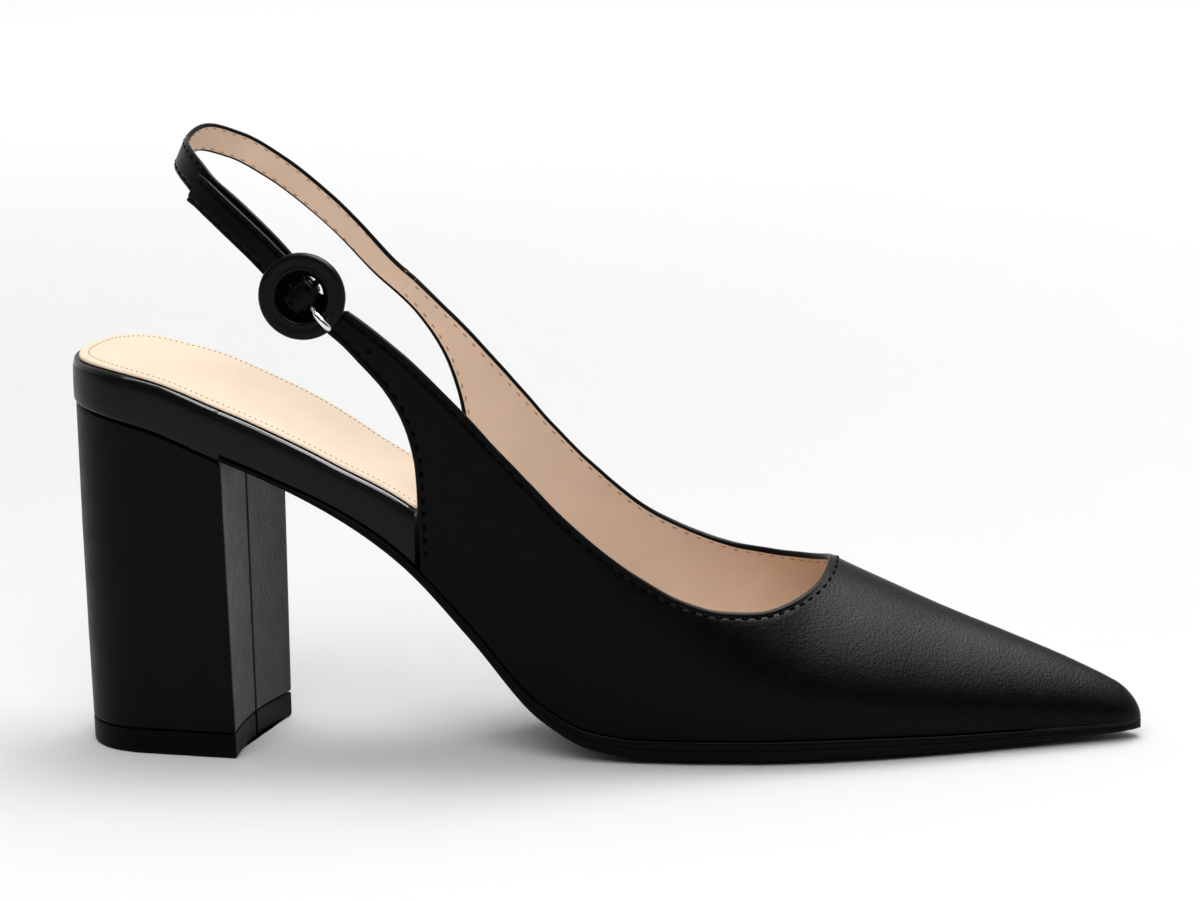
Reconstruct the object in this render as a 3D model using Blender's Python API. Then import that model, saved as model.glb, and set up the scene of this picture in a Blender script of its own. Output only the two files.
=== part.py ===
"""Right slingback pump with a pointed toe, a wrapped block heel and a round buckle, standing empty on its sole.

Metres. +X runs to the toe, +Y to the medial side and +Z up. The origin is on the floor under the heel's middle.
"""

import math

import bmesh
import bpy
import numpy as np

MM = 0.001

# Overall sizes
SHOE_LENGTH = 245.0 * MM
BACK_REACH = 19.0 * MM
BALL_WIDTH = 61.0 * MM
SEAT_WIDTH = 48.4 * MM
SEAT_HEIGHT = 82.0 * MM
RIM_HEIGHT = 11.5 * MM
SOLE_THICKNESS = 4.4 * MM
EDGE_LIFT = 1.4 * MM
TOE_SPRING = 2.3 * MM
INSTEP_HEIGHT = 36.3 * MM
BACK_ROUND = 20.0 * MM
TOE_ROUND = 6.0 * MM

# Footbed and sock, whose edge steps in behind the upper's wall
BOARD_TIP = 0.90
SOCK_TIP = 0.885
TIP_ROUND = 14.0 * MM
EDGE_BEVEL = 0.6 * MM
SOCK_THICKNESS = 0.8 * MM
SOCK_MARGIN = 1.4 * MM
SEAT_TILT = 2.4 * MM
TUCK_LEAD = 1.0 * MM
TUCK_RUN = 0.6 * MM
BREAST_STEP = 0.02 * MM

# Walls and clearances
UPPER_WALL = 1.6 * MM
WALL_ROWS = 6
SIDE_RISE = 0.42
TOE_CAVITY = 9.0 * MM
FEATHER_INSET = 0.4 * MM
GAP = 0.3 * MM

# Heel
HEEL_TURN = math.radians(11.0)
HEEL_BREAST = 22.6 * MM
HEEL_BACK = 17.6 * MM
HEEL_BASE_WIDTH = 40.0 * MM
HEEL_LEAN = 1.1 * MM
HEEL_INSET = 1.2 * MM
BREAST_HOLLOW = 2.0 * MM
GROOVE_WIDTH = 1.2 * MM
GROOVE_DEPTH = 0.8 * MM
TOP_PIECE_HEIGHT = 5.8 * MM

# Strap, which loops back from the wings
STRAP_WIDTH = 7.1 * MM
STRAP_THICKNESS = 1.3 * MM
STRAP_RISE = 56.4 * MM
STRAP_LEAN = math.radians(24.0)
STRAP_JOIN = 1.3 * MM
LOOP_SHARE = 0.1086
LOOP_DEPTH = 0.1331 * SHOE_LENGTH
LOOP_HALF_WIDTH = 27.0 * MM
LOOP_CENTRE = -4.7 * MM
PUNCH_DIAMETER = 1.3 * MM
PUNCH_SHARE = 0.2914
PUNCH_RISE = 0.273

# Buckle, with depths measured outward from the sling strap's inner face
BUCKLE_DIAMETER = 19.8 * MM
BUCKLE_HOLE = 11.5 * MM
BUCKLE_THICKNESS = 2.4 * MM
BUCKLE_DEPTH = 4.0 * MM
BUCKLE_ROUND = 0.7 * MM
BAR_DIAMETER = 1.4 * MM
BAR_DEPTH = 2.9 * MM
PRONG_DIAMETER = 1.2 * MM
PRONG_PLAY = 0.35 * MM
BAR_PLAY = 0.3 * MM
LOOP_LEATHER = 1.0 * MM
FOLD_RADIUS = BAR_DIAMETER / 2 + BAR_PLAY + LOOP_LEATHER

# Plan of the sole: centre and half width, and the turn of each section, from the back to the toe.
# share of length, centre of ball width, turn in degrees, half width of seat width, half width of ball width
PLAN = (
    (0.000, 0.059, 11.0, 0.500, 0.000),
    (0.100, -0.016, 11.0, 0.500, 0.000),
    (0.150, -0.056, 11.0, 0.496, 0.000),
    (0.200, -0.093, 10.5, 0.479, 0.000),
    (0.260, -0.125, 8.5, 0.438, 0.000),
    (0.320, -0.134, 5.0, 0.407, 0.000),
    (0.380, -0.125, 1.5, 0.000, 0.320),
    (0.440, -0.082, 0.0, 0.000, 0.356),
    (0.490, -0.033, 0.0, 0.000, 0.410),
    (0.540, 0.010, 0.0, 0.000, 0.462),
    (0.590, 0.033, 0.0, 0.000, 0.495),
    (0.640, 0.041, 0.0, 0.000, 0.500),
    (0.690, 0.043, 0.0, 0.000, 0.479),
    (0.750, 0.039, 0.0, 0.000, 0.423),
    (0.810, 0.036, 0.0, 0.000, 0.347),
    (0.870, 0.033, 0.0, 0.000, 0.262),
    (0.930, 0.030, 0.0, 0.000, 0.174),
    (0.965, 0.027, 0.0, 0.000, 0.121),
    (1.000, 0.025, 0.0, 0.000, 0.062),
)

# Side profile of the sole: underside, toe spring, thickness, top of the footbed above the underside, edge lift.
# share of length, of seat height, of toe spring, of sole thickness, of rim height, of edge lift
PROFILE = (
    (0.000, 1.000, 0.00, 0.50, 0.790, 0.0),
    (0.050, 0.976, 0.00, 0.50, 0.930, 0.0),
    (0.100, 0.938, 0.00, 0.50, 0.990, 0.0),
    (0.150, 0.878, 0.00, 0.50, 1.030, 0.0),
    (0.200, 0.817, 0.00, 0.52, 1.020, 0.0),
    (0.260, 0.717, 0.00, 0.55, 1.060, 0.0),
    (0.320, 0.570, 0.00, 0.57, 1.330, 0.0),
    (0.380, 0.350, 0.00, 0.73, 1.700, 0.0),
    (0.440, 0.115, 0.00, 0.84, 1.560, 0.6),
    (0.490, 0.024, 0.00, 0.93, 1.020, 0.9),
    (0.540, 0.000, 0.00, 1.00, 0.780, 1.0),
    (0.590, 0.000, 0.00, 1.00, 0.700, 1.0),
    (0.690, 0.000, 0.00, 1.00, 0.680, 1.0),
    (0.750, 0.000, 0.00, 0.95, 0.665, 1.0),
    (0.810, 0.000, 0.07, 0.84, 0.620, 0.9),
    (0.870, 0.000, 0.26, 0.70, 0.560, 0.8),
    (0.930, 0.000, 0.54, 0.55, 0.480, 0.6),
    (1.000, 0.000, 1.00, 0.32, 0.380, 0.3),
)

# Last above the feather line: ridge, then how far the side leans out and where the shoulder lies.
# share of length, ridge of instep height, side lean lateral and medial and shoulder lateral and medial of ball width
LAST = (
    (0.200, 2.29, 0.070, 0.250, 0.55, 0.62),
    (0.260, 2.33, 0.090, 0.300, 0.56, 0.62),
    (0.320, 2.36, 0.120, 0.320, 0.56, 0.60),
    (0.380, 2.51, 0.160, 0.330, 0.55, 0.60),
    (0.440, 2.65, 0.190, 0.300, 0.54, 0.58),
    (0.490, 2.41, 0.210, 0.260, 0.50, 0.54),
    (0.540, 2.04, 0.210, 0.220, 0.44, 0.47),
    (0.590, 1.67, 0.200, 0.200, 0.37, 0.38),
    (0.640, 1.34, 0.190, 0.190, 0.30, 0.30),
    (0.690, 1.067, 0.180, 0.180, 0.235, 0.235),
    (0.7085, 1.000, 0.175, 0.175, 0.215, 0.215),
    (0.750, 0.875, 0.160, 0.160, 0.18, 0.18),
    (0.810, 0.706, 0.130, 0.130, 0.14, 0.14),
    (0.870, 0.549, 0.100, 0.100, 0.11, 0.11),
    (0.930, 0.386, 0.070, 0.070, 0.08, 0.08),
    (0.965, 0.278, 0.045, 0.045, 0.06, 0.06),
    (0.980, 0.225, 0.038, 0.038, 0.045, 0.045),
    (1.000, 0.150, 0.030, 0.030, 0.035, 0.035),
)

# Lower and upper edge of each side of the upper, from the rear of the wing to the throat.
# lower edge: share of length and rise of instep height; topline: share of length and rise of instep height
LATERAL_EDGES = (
    (0.252, 1.117, 0.273, 1.349),
    (0.264, 1.100, 0.2865, 1.350),
    (0.282, 1.055, 0.309, 1.352),
    (0.300, 1.013, 0.331, 1.366),
    (0.317, 0.922, 0.355, 1.383),
    (0.326, 0.799, 0.373, 1.399),
    (0.330, 0.661, 0.388, 1.412),
    (0.331, 0.460, 0.402, 1.426),
    (0.331, 0.226, 0.414, 1.443),
    (0.331, 0.000, 0.424, 1.451),
    (0.345, 0.000, 0.436, 1.442),
    (0.375, 0.000, 0.455, 1.394),
    (0.415, 0.000, 0.478, 1.325),
    (0.465, 0.000, 0.505, 1.207),
    (0.515, 0.000, 0.537, 1.068),
    (0.560, 0.000, 0.571, 0.932),
    (0.605, 0.000, 0.610, 0.843),
    (0.645, 0.000, 0.647, 0.819),
    (0.672, 0.000, 0.672, 0.841),
    (0.689, 0.000, 0.689, 0.878),
    (0.701, 0.000, 0.701, 0.929),
    (0.7070, 0.000, 0.7070, 0.976),
    (0.7085, 0.000, 0.7085, 1.003),
)
MEDIAL_EDGES = (
    (0.292, 1.171, 0.311, 1.394),
    (0.298, 1.169, 0.321, 1.392),
    (0.307, 1.161, 0.3355, 1.397),
    (0.318, 1.135, 0.351, 1.421),
    (0.327, 1.104, 0.367, 1.447),
    (0.336, 1.054, 0.384, 1.466),
    (0.344, 0.967, 0.401, 1.488),
    (0.350, 0.860, 0.420, 1.507),
    (0.354, 0.693, 0.438, 1.488),
    (0.3555, 0.388, 0.453, 1.445),
    (0.3555, 0.000, 0.467, 1.400),
    (0.371, 0.000, 0.480, 1.356),
    (0.402, 0.000, 0.498, 1.270),
    (0.439, 0.000, 0.520, 1.168),
    (0.482, 0.000, 0.545, 1.074),
    (0.5245, 0.000, 0.571, 0.995),
    (0.565, 0.000, 0.598, 0.936),
    (0.605, 0.000, 0.622, 0.907),
    (0.645, 0.000, 0.653, 0.900),
    (0.672, 0.000, 0.674, 0.911),
    (0.689, 0.000, 0.690, 0.927),
    (0.701, 0.000, 0.701, 0.954),
    (0.7070, 0.000, 0.7070, 0.984),
    (0.7085, 0.000, 0.7085, 1.003),
)

# Middle line of the sling strap from the medial wing round the back to the bar.
# angle round the loop in degrees, lateral side negative; height above the seat of strap rise; inward lean of full lean
SLING = (
    (114.3, 0.372, 0.30),
    (105.5, 0.450, 0.50),
    (91.1, 0.606, 0.80),
    (79.0, 0.724, 0.95),
    (62.4, 0.862, 1.05),
    (43.3, 0.972, 1.05),
    (22.0, 1.025, 1.00),
    (0.0, 1.000, 1.00),
    (-16.0, 0.985, 0.95),
    (-29.4, 0.949, 0.80),
    (-41.7, 0.886, 0.55),
    (-53.1, 0.828, 0.35),
    (-67.8, 0.718, 0.10),
    (-76.1, 0.635, 0.00),
    (-81.9, 0.558, 0.00),
    (-86.6, 0.507, 0.00),
)

# Middle line of the holed strap from the lateral wing through the buckle to its free end, in the same columns.
HOLED = (
    (-98.9, 0.378, 0.00),
    (-91.4, 0.453, 0.00),
    (-86.6, 0.507, 0.00),
    (-75.5, 0.622, 0.00),
    (-68.0, 0.693, 0.10),
    (-59.2, 0.762, 0.25),
    (-49.8, 0.825, 0.40),
    (-40.3, 0.875, 0.55),
    (-35.5, 0.890, 0.65),
)

# Route of the holed strap through the buckle: run along it from the bar towards the wing, and depth outward.
# run of bar depth, depth of its inner face of bar depth
LACING = (
    (-7.20, 0.60),
    (-3.20, 0.60),
    (-2.10, 0.60),
    (-1.55, 0.68),
    (-1.14, 0.93),
    (-0.90, 1.31),
    (-0.62, 1.69),
    (-0.31, 1.88),
    (0.00, 1.93),
    (0.31, 1.88),
    (0.62, 1.69),
    (0.90, 1.31),
    (1.14, 0.93),
    (1.55, 0.68),
    (2.10, 0.60),
    (2.80, 0.48),
    (3.60, 0.20),
)

# Route of the prong round the bar and on to the rim, and its growing thickness.
# run of bar depth, depth of bar depth, diameter of prong diameter
PRONG = (
    (0.00, 0.45, 1.00),
    (-0.39, 0.61, 1.00),
    (-0.55, 1.00, 1.00),
    (-0.39, 1.39, 1.00),
    (0.00, 1.55, 1.00),
    (0.42, 1.58, 1.00),
    (0.90, 1.78, 1.00),
    (1.38, 2.16, 1.10),
    (1.90, 2.52, 1.30),
    (2.50, 2.60, 1.40),
    (3.40, 2.60, 1.40),
)

# Route of the bar from rim to rim: reach across it of the ring's mean radius, and how far it has risen to the rim.
BAR_ROUTE = (
    (-1.000, 1.000),
    (-0.936, 0.263),
    (-0.834, 0.000),
    (0.000, 0.000),
    (0.834, 0.000),
    (0.936, 0.263),
    (1.000, 1.000),
)


def clear_scene():
    for obj in list(bpy.data.objects):
        bpy.data.objects.remove(obj, do_unlink=True)


def through(table, column, shares):
    """A smooth curve through one column of a table, with no overshoot between rows."""
    x = np.array([row[0] for row in table])
    y = np.array([row[column] for row in table])
    return smooth(x, y, shares)


def smooth(x, y, at):
    step = np.diff(x)
    rate = np.diff(y) / step
    slope = np.concatenate([rate[:1], np.zeros(len(x) - 2), rate[-1:]])
    for i in range(1, len(x) - 1):
        if rate[i - 1] * rate[i] > 0:
            before = 2 * step[i] + step[i - 1]
            after = step[i] + 2 * step[i - 1]
            slope[i] = (before + after) / (before / rate[i - 1] + after / rate[i])
    at = np.clip(np.asarray(at, float), x[0], x[-1])
    i = np.clip(np.searchsorted(x, at, side="right") - 1, 0, len(step) - 1)
    t = (at - x[i]) / step[i]
    return (
        y[i] * (1 + 2 * t) * (1 - t) ** 2
        + slope[i] * step[i] * t * (1 - t) ** 2
        + y[i + 1] * t**2 * (3 - 2 * t)
        + slope[i + 1] * step[i] * t**2 * (t - 1)
    )


def ease(t):
    t = np.clip(t, 0.0, 1.0)
    return t * t * (3 - 2 * t)


def round_end(t):
    """Half width of a rounded end, from 0 at its tip to 1 where it meets the straight side."""
    power = 2.3
    return np.maximum(1 - (1 - np.clip(t, 0.0, 1.0)) ** power, 0.0) ** (1 / power)


def to_share(x):
    return (np.asarray(x) + BACK_REACH) / SHOE_LENGTH


def to_x(share):
    return np.asarray(share) * SHOE_LENGTH - BACK_REACH


def half_width(share, margin=0.0, tip=1.0, tip_round=TOE_ROUND):
    """Half width of the sole at a section, square to the line down its middle, less a margin all round."""
    share = np.asarray(share, float)
    shares = np.array([row[0] for row in PLAN])
    halves = np.array([row[3] * SEAT_WIDTH + row[4] * BALL_WIDTH for row in PLAN])
    back = round_end((share * SHOE_LENGTH - margin) / BACK_ROUND)
    toe = round_end(((tip - share) * SHOE_LENGTH - margin) / tip_round)
    return np.maximum(smooth(shares, halves, share) - margin, 0.0) * back * toe


def centre_y(share):
    return through(PLAN, 1, share) * BALL_WIDTH


def turn(share):
    return through(PLAN, 2, share) * HEEL_TURN / PLAN[0][2]


def underside(share):
    return through(PROFILE, 1, share) * SEAT_HEIGHT + through(PROFILE, 2, share) * TOE_SPRING


def sole_thickness(share):
    return through(PROFILE, 3, share) * SOLE_THICKNESS


def board_top(share, across):
    """Top of the footbed, whose seat falls from its lateral edge to its medial edge, across being metres."""
    tilt = SEAT_TILT * ease((0.42 - share) / 0.16) * ease(share / 0.08) * (across / SEAT_WIDTH + 0.5)
    return underside(share) + through(PROFILE, 4, share) * RIM_HEIGHT - tilt


def lift(share, across):
    """How far the sole's edges stand off the floor, across being a share of the half width."""
    return through(PROFILE, 5, share) * EDGE_LIFT * np.abs(across) ** 4


def section(share, across, height):
    """Points of a section across the sole, across being metres from its middle towards the medial side."""
    side = turn(share)
    x = to_x(share) + across * np.sin(side)
    y = centre_y(share) + across * np.cos(side)
    return np.stack([x, y, np.broadcast_to(height, np.shape(x))], -1)


BREAST_SHARE = float(to_share((HEEL_BREAST - HEEL_LEAN) * math.cos(HEEL_TURN)))


def sheet_faces(rows, columns, start, flip):
    faces = []
    for i in range(rows - 1):
        for j in range(columns - 1):
            a = start + i * columns + j
            quad = (a, a + 1, a + columns + 1, a + columns)
            faces.append(quad[::-1] if flip else quad)
    return faces


def slab(name, low, high, material):
    """One closed body between two grids of points of the same shape, whose end rows may shrink to a point."""
    rows, columns = low.shape[:2]
    for grid in (low, high):
        tips = np.ptp(grid[:, :, :2], axis=1).max(axis=1) < 0.01 * MM
        grid[tips] = grid[tips, columns // 2][:, None, :]
    count = rows * columns
    faces = sheet_faces(rows, columns, 0, True) + sheet_faces(rows, columns, count, False)
    rim = [i * columns for i in range(rows)]
    rim += [(rows - 1) * columns + j for j in range(1, columns)]
    rim += [i * columns + columns - 1 for i in range(rows - 2, -1, -1)]
    rim += [j for j in range(columns - 2, 0, -1)]
    for k, a in enumerate(rim):
        b = rim[(k + 1) % len(rim)]
        faces.append((a, b, count + b, count + a))
    return mesh_object(name, np.concatenate([low.reshape(-1, 3), high.reshape(-1, 3)]), faces, material)


def mesh_object(name, points, faces, material, smooth_faces=True):
    mesh = bmesh.new()
    verts = [mesh.verts.new(point) for point in points]
    for face in faces:
        corners = list(dict.fromkeys(face))
        if len(corners) > 2:
            mesh.faces.new([verts[i] for i in corners])
    bmesh.ops.remove_doubles(mesh, verts=mesh.verts, dist=0.001 * MM)
    bmesh.ops.triangulate(mesh, faces=mesh.faces)
    bmesh.ops.recalc_face_normals(mesh, faces=mesh.faces)
    if mesh.calc_volume(signed=True) < 0:
        bmesh.ops.reverse_faces(mesh, faces=mesh.faces)
    data = bpy.data.meshes.new(name)
    mesh.to_mesh(data)
    mesh.free()
    if smooth_faces:
        data.shade_smooth()
        data.set_sharp_from_angle(angle=math.radians(35))
    obj = bpy.data.objects.new(name, data)
    obj.data.materials.append(material)
    bpy.context.scene.collection.objects.link(obj)
    return obj


def material(name, colour, roughness, metallic=0.0):
    made = bpy.data.materials.new(name)
    made.use_nodes = True
    shader = made.node_tree.nodes["Principled BSDF"]
    shader.inputs["Base Color"].default_value = (*colour, 1.0)
    shader.inputs["Roughness"].default_value = roughness
    shader.inputs["Metallic"].default_value = metallic
    return made


def boolean(target, cutter, operation):
    modifier = target.modifiers.new(cutter.name, "BOOLEAN")
    modifier.operation = operation
    modifier.object = cutter
    modifier.solver = "EXACT"
    cutter.hide_render = True
    cutter.display_type = "WIRE"


def spread(count, first=-1.0, last=1.0):
    return np.linspace(first, last, count)


def end_spaced(count):
    """Shares from 0 to 1, close together near 0."""
    return 1 - np.cos(np.linspace(0, math.pi / 2, count))


# Heel


def heel_outline(level, across_count=11, along_count=15):
    """Plan of the heel at a level from 0 on the floor to 1 at the seat, as rows from the back to the breast."""
    back = -HEEL_BACK - HEEL_LEAN * level
    breast = HEEL_BREAST - HEEL_LEAN * level
    along = back + (breast - back) * end_spaced(along_count)
    seat_half = half_width(to_share(along * math.cos(HEEL_TURN))) - HEEL_INSET
    base_half = HEEL_BASE_WIDTH / 2 * round_end((along - back) / (BACK_ROUND - HEEL_INSET))
    base_half[0] = 0.15 * HEEL_BASE_WIDTH / 2
    seat_half = np.maximum(seat_half, base_half[0])
    half = base_half + (seat_half - base_half) * level
    across = half[:, None] * spread(across_count)
    along = np.repeat(along[:, None], across_count, axis=1)
    hollow = BREAST_HOLLOW * (1 - spread(across_count) ** 2)
    hollow[across_count // 2] += GROOVE_DEPTH
    along[-1] -= hollow
    return along, across


def heel_place(along, across, height):
    x = along * math.cos(HEEL_TURN) + across * math.sin(HEEL_TURN)
    y = across * math.cos(HEEL_TURN) - along * math.sin(HEEL_TURN)
    return np.stack([x, y, np.broadcast_to(height, x.shape)], -1)


def grooved(across):
    """Pulls the two points beside the middle of the breast in to the groove's width."""
    middle = across.shape[1] // 2
    across = across.copy()
    across[:, middle - 1] = np.maximum(across[:, middle - 1], -GROOVE_WIDTH / 2)
    across[:, middle + 1] = np.minimum(across[:, middle + 1], GROOVE_WIDTH / 2)
    return across


def make_heel_block(leather):
    low_along, low_across = heel_outline(0.07)
    high_along, high_across = heel_outline(1.0)
    seat = underside(to_share(high_along * math.cos(HEEL_TURN))) - GAP
    low = heel_place(low_along, grooved(low_across), TOP_PIECE_HEIGHT + GAP)
    high = heel_place(high_along, grooved(high_across), seat)
    return slab("heel_block", low, high, leather)


def make_top_piece(rubber):
    low_along, low_across = heel_outline(0.0)
    high_along, high_across = heel_outline(0.07)
    low = heel_place(low_along, grooved(low_across), 0.0)
    high = heel_place(high_along, grooved(high_across), TOP_PIECE_HEIGHT)
    return slab("heel_top_piece", low, high, rubber)


# Sole, footbed and sock


def wing_x(side):
    """Where the upper's rear edge comes down to the sole."""
    edges = LATERAL_EDGES if side < 0 else MEDIAL_EDGES
    return to_x(max(row[0] for row in edges if row[1] > 0))


def to_tip(first, tip, count, end_count, end_length):
    """Shares from a section to a rounded tip, closer together over the tip's last stretch."""
    end = end_length / SHOE_LENGTH
    straight = np.linspace(first, tip - end, count)
    return np.concatenate([straight, tip - end + end * np.sin(np.linspace(0, math.pi / 2, end_count + 1))[1:]])


def stations(first, tip, tip_round):
    """Sections shared by the outsole, footbed and sock: closer at the arch, in pairs at the breast and the wings."""
    seat = np.linspace(0.10, 0.34, 9)
    arch = np.linspace(0.36, 0.54, 13)
    forefoot = np.linspace(0.57, 0.98, 14)
    shares = np.concatenate([seat, arch, forefoot])
    steps = [BREAST_SHARE, BREAST_SHARE + BREAST_STEP / SHOE_LENGTH]
    for side in (-1, 1):
        x = wing_x(side)
        slant = side * half_width(to_share(x)) * np.sin(turn(to_share(x)))
        for before in (1.1 * TUCK_LEAD, TUCK_LEAD - 1.08 * TUCK_RUN):
            steps.append(float(to_share(x - slant - before)))
    steps = np.array(steps)
    spacing = 0.004
    shares = shares[np.abs(shares[:, None] - steps[None, :]).min(axis=1) > spacing]
    shares = np.sort(np.concatenate([shares, steps]))
    end = tip_round / SHOE_LENGTH
    shares = shares[(shares > first + spacing / 2) & (shares < tip - end - spacing / 2)]
    return np.concatenate([[first], shares, to_tip(tip - end, tip, 1, 6, tip_round)])


def make_outsole(rubber):
    shares = stations(BREAST_SHARE + GAP / SHOE_LENGTH, 1.0, TOE_ROUND)[:, None]
    across = spread(9)[None, :]
    half = half_width(shares)
    low_z = underside(shares) + lift(shares, across)
    bevel = np.minimum(EDGE_BEVEL, 0.4 * half)
    low = section(shares, across * (half - bevel), low_z)
    high = section(shares, across * half, low_z + sole_thickness(shares))
    return slab("outsole", low, high, rubber)


def tuck(shares, side, margin, tip):
    """How far one side of the footbed runs from its middle: the full seat, then inside the upper's wall."""
    half = half_width(shares, margin, tip, TIP_ROUND)
    edge_x = to_x(shares) + side * half * np.sin(turn(shares))
    inside = ease((edge_x - wing_x(side) + TUCK_LEAD) / TUCK_RUN)
    wall = FEATHER_INSET + UPPER_WALL + GAP
    return side * np.maximum(half - wall * inside, 0.02 * half)


def board_shares(margin, tip):
    """Sections of the footbed or sock from its rounded back to its tip."""
    start = margin / SHOE_LENGTH
    back = start + BACK_ROUND / SHOE_LENGTH * end_spaced(8)
    return np.concatenate([back[:-1], stations(back[-1], tip - start, TIP_ROUND)])


def board_reach(shares, across, margin, tip):
    """Metres from the middle to each point across the footbed or sock."""
    lateral = tuck(shares, -1, margin, tip)[:, None]
    medial = tuck(shares, 1, margin, tip)[:, None]
    return across[None, :] * np.where(across[None, :] < 0, -lateral, medial)


def make_footbed(leather):
    across = spread(7)
    shares = board_shares(0.0, BOARD_TIP)
    reach = board_reach(shares, across, 0.0, BOARD_TIP)
    column = shares[:, None]
    seat = underside(column) + 0 * reach
    front = seat + lift(column, across[None, :]) + sole_thickness(column) + GAP
    low = section(column, reach, np.where(column <= BREAST_SHARE, seat, front))
    high = section(column, reach, board_top(column, reach))
    return slab("footbed", low, high, leather)


def make_sock(lining):
    shares = board_shares(SOCK_MARGIN, SOCK_TIP)
    reach = board_reach(shares, spread(7), SOCK_MARGIN, SOCK_TIP)
    top = board_top(shares[:, None], reach) + GAP
    low = section(shares[:, None], reach, top)
    high = section(shares[:, None], reach, top + SOCK_THICKNESS)
    return slab("sock", low, high, lining)


# Upper


def feather_line(side):
    """Edge of the outsole's top on one side, where the upper meets it."""
    shares = np.concatenate([np.linspace(0.1, 0.96, 140), np.linspace(0.961, 1.0, 60)])
    half = np.maximum(half_width(shares) - FEATHER_INSET, 0.0)
    height = underside(shares) + lift(shares, 1.0) + sole_thickness(shares)
    return section(shares, side * half, height)


FEATHER = {-1: feather_line(-1), 1: feather_line(1)}


def last_frame(side, x):
    """Height of the feather line and of the ridge above it, and the four guides of the section between them."""
    share = to_share(x)
    line = FEATHER[side]
    foot = np.interp(x, line[:, 0], line[:, 1])
    base = np.interp(x, line[:, 0], line[:, 2]) + GAP
    toe = round_end((1 - share) * SHOE_LENGTH / TOE_ROUND)
    ridge = base + through(LAST, 1, share) * INSTEP_HEIGHT * toe
    lean = through(LAST, 2 if side < 0 else 3, share) * BALL_WIDTH * toe
    shoulder = through(LAST, 4 if side < 0 else 5, share) * BALL_WIDTH * toe
    return foot, base, ridge, lean, shoulder


def last_point(side, x, girth):
    """Outer surface of the upper, from the feather line at girth 0 to the ridge at girth 1."""
    foot, base, ridge, lean, shoulder = last_frame(side, x)
    middle = centre_y(to_share(x))
    t = girth
    a, b, c, d = (1 - t) ** 3, 3 * t * (1 - t) ** 2, 3 * t * t * (1 - t), t**3
    y = a * foot + b * (foot + side * lean) + c * (middle + side * shoulder) + d * middle
    z = a * base + b * (base + SIDE_RISE * (ridge - base)) + (c + d) * ridge
    return np.stack([x + 0 * y, y, z], -1)


def girth_at(side, x, height):
    """Girth at which the outer surface reaches a height."""
    low = np.zeros_like(x)
    high = np.ones_like(x)
    for _ in range(40):
        middle = (low + high) / 2
        below = last_point(side, x, middle)[..., 2] < height
        low = np.where(below, middle, low)
        high = np.where(below, high, middle)
    return (low + high) / 2


def outward(side, x, girth):
    """Unit normals of the outer surface."""
    dx = 0.3 * MM
    dg = 0.01
    ahead = np.minimum(x + dx, to_x(1.0) - 0.01 * MM)
    along = last_point(side, ahead, girth) - last_point(side, x - dx, girth)
    up = last_point(side, x, np.minimum(girth + dg, 1)) - last_point(side, x, np.maximum(girth - dg, 0))
    normal = np.cross(along, up) * side * -1
    length = np.linalg.norm(normal, axis=-1, keepdims=True)
    return normal / np.maximum(length, 1e-12)


def ridge_normal(x):
    """Unit normals of the outer surface along its ridge, the same from both sides."""
    dx = 0.3 * MM
    ahead = np.minimum(x + dx, to_x(1.0) - 0.01 * MM)
    rise = last_frame(1, ahead)[2] - last_frame(1, x - dx)[2]
    return unit(np.stack([-rise, 0 * x, ahead - (x - dx)], -1))


def wall_columns(side):
    """Lower and upper end of each column of the wall, from the rear of the wing to the toe."""
    edges = LATERAL_EDGES if side < 0 else MEDIAL_EDGES
    index = np.arange(len(edges))
    at = np.linspace(0, len(edges) - 1, 2 * (len(edges) - 1) + 1)
    low_x = to_x(smooth(index, np.array([row[0] for row in edges]), at))
    low_rise = smooth(index, np.array([row[1] for row in edges]), at) * INSTEP_HEIGHT
    top_x = to_x(smooth(index, np.array([row[2] for row in edges]), at))
    top_rise = smooth(index, np.array([row[3] for row in edges]), at) * INSTEP_HEIGHT
    low_girth = girth_at(side, low_x, last_frame(side, low_x)[1] + low_rise)
    low_girth[low_rise < 0.01 * MM] = 0.0
    top_girth = girth_at(side, top_x, last_frame(side, top_x)[1] + top_rise)
    top_girth[-1] = 1.0
    vamp = to_x(to_tip(edges[-1][2], 1.0, 15, 7, TOE_ROUND)[1:])
    low_x = np.concatenate([low_x, vamp])
    top_x = np.concatenate([top_x, vamp])
    low_girth = np.concatenate([low_girth, np.zeros(len(vamp))])
    top_girth = np.concatenate([top_girth, np.ones(len(vamp))])
    return low_x, low_girth, top_x, top_girth, len(at) - 1


def wall_grids(side):
    """Outer and inner points of one side of the upper, and the column where the throat closes."""
    low_x, low_girth, top_x, top_girth, throat = wall_columns(side)
    v = np.linspace(0, 1, WALL_ROWS + 1)[None, :]
    x = low_x[:, None] * (1 - v) + top_x[:, None] * v
    girth = low_girth[:, None] * (1 - v) + top_girth[:, None] * v
    outer = last_point(side, x, girth)
    normal = outward(side, x, girth)
    normal[throat:, -1] = ridge_normal(x[throat:, -1])
    share = to_share(x)
    wall = np.minimum(UPPER_WALL, 0.5 * half_width(share))
    inner = outer - wall[..., None] * normal
    tip_x = to_x(1.0) - TOE_CAVITY
    tip = last_point(side, np.array(tip_x), np.array(0.0))
    tip[1] = centre_y(to_share(tip_x))
    tip[2] += 0.12 * INSTEP_HEIGHT
    close = (np.clip((share - 0.90) / 0.10, 0.0, 1.0) ** 2)[..., None]
    inner[..., 1:] = inner[..., 1:] * (1 - close) + tip[1:] * close
    inner[..., 0] -= TOE_CAVITY * close[..., 0]
    return outer, inner, throat


def unit(vector):
    return vector / np.linalg.norm(vector, axis=-1, keepdims=True)


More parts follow.
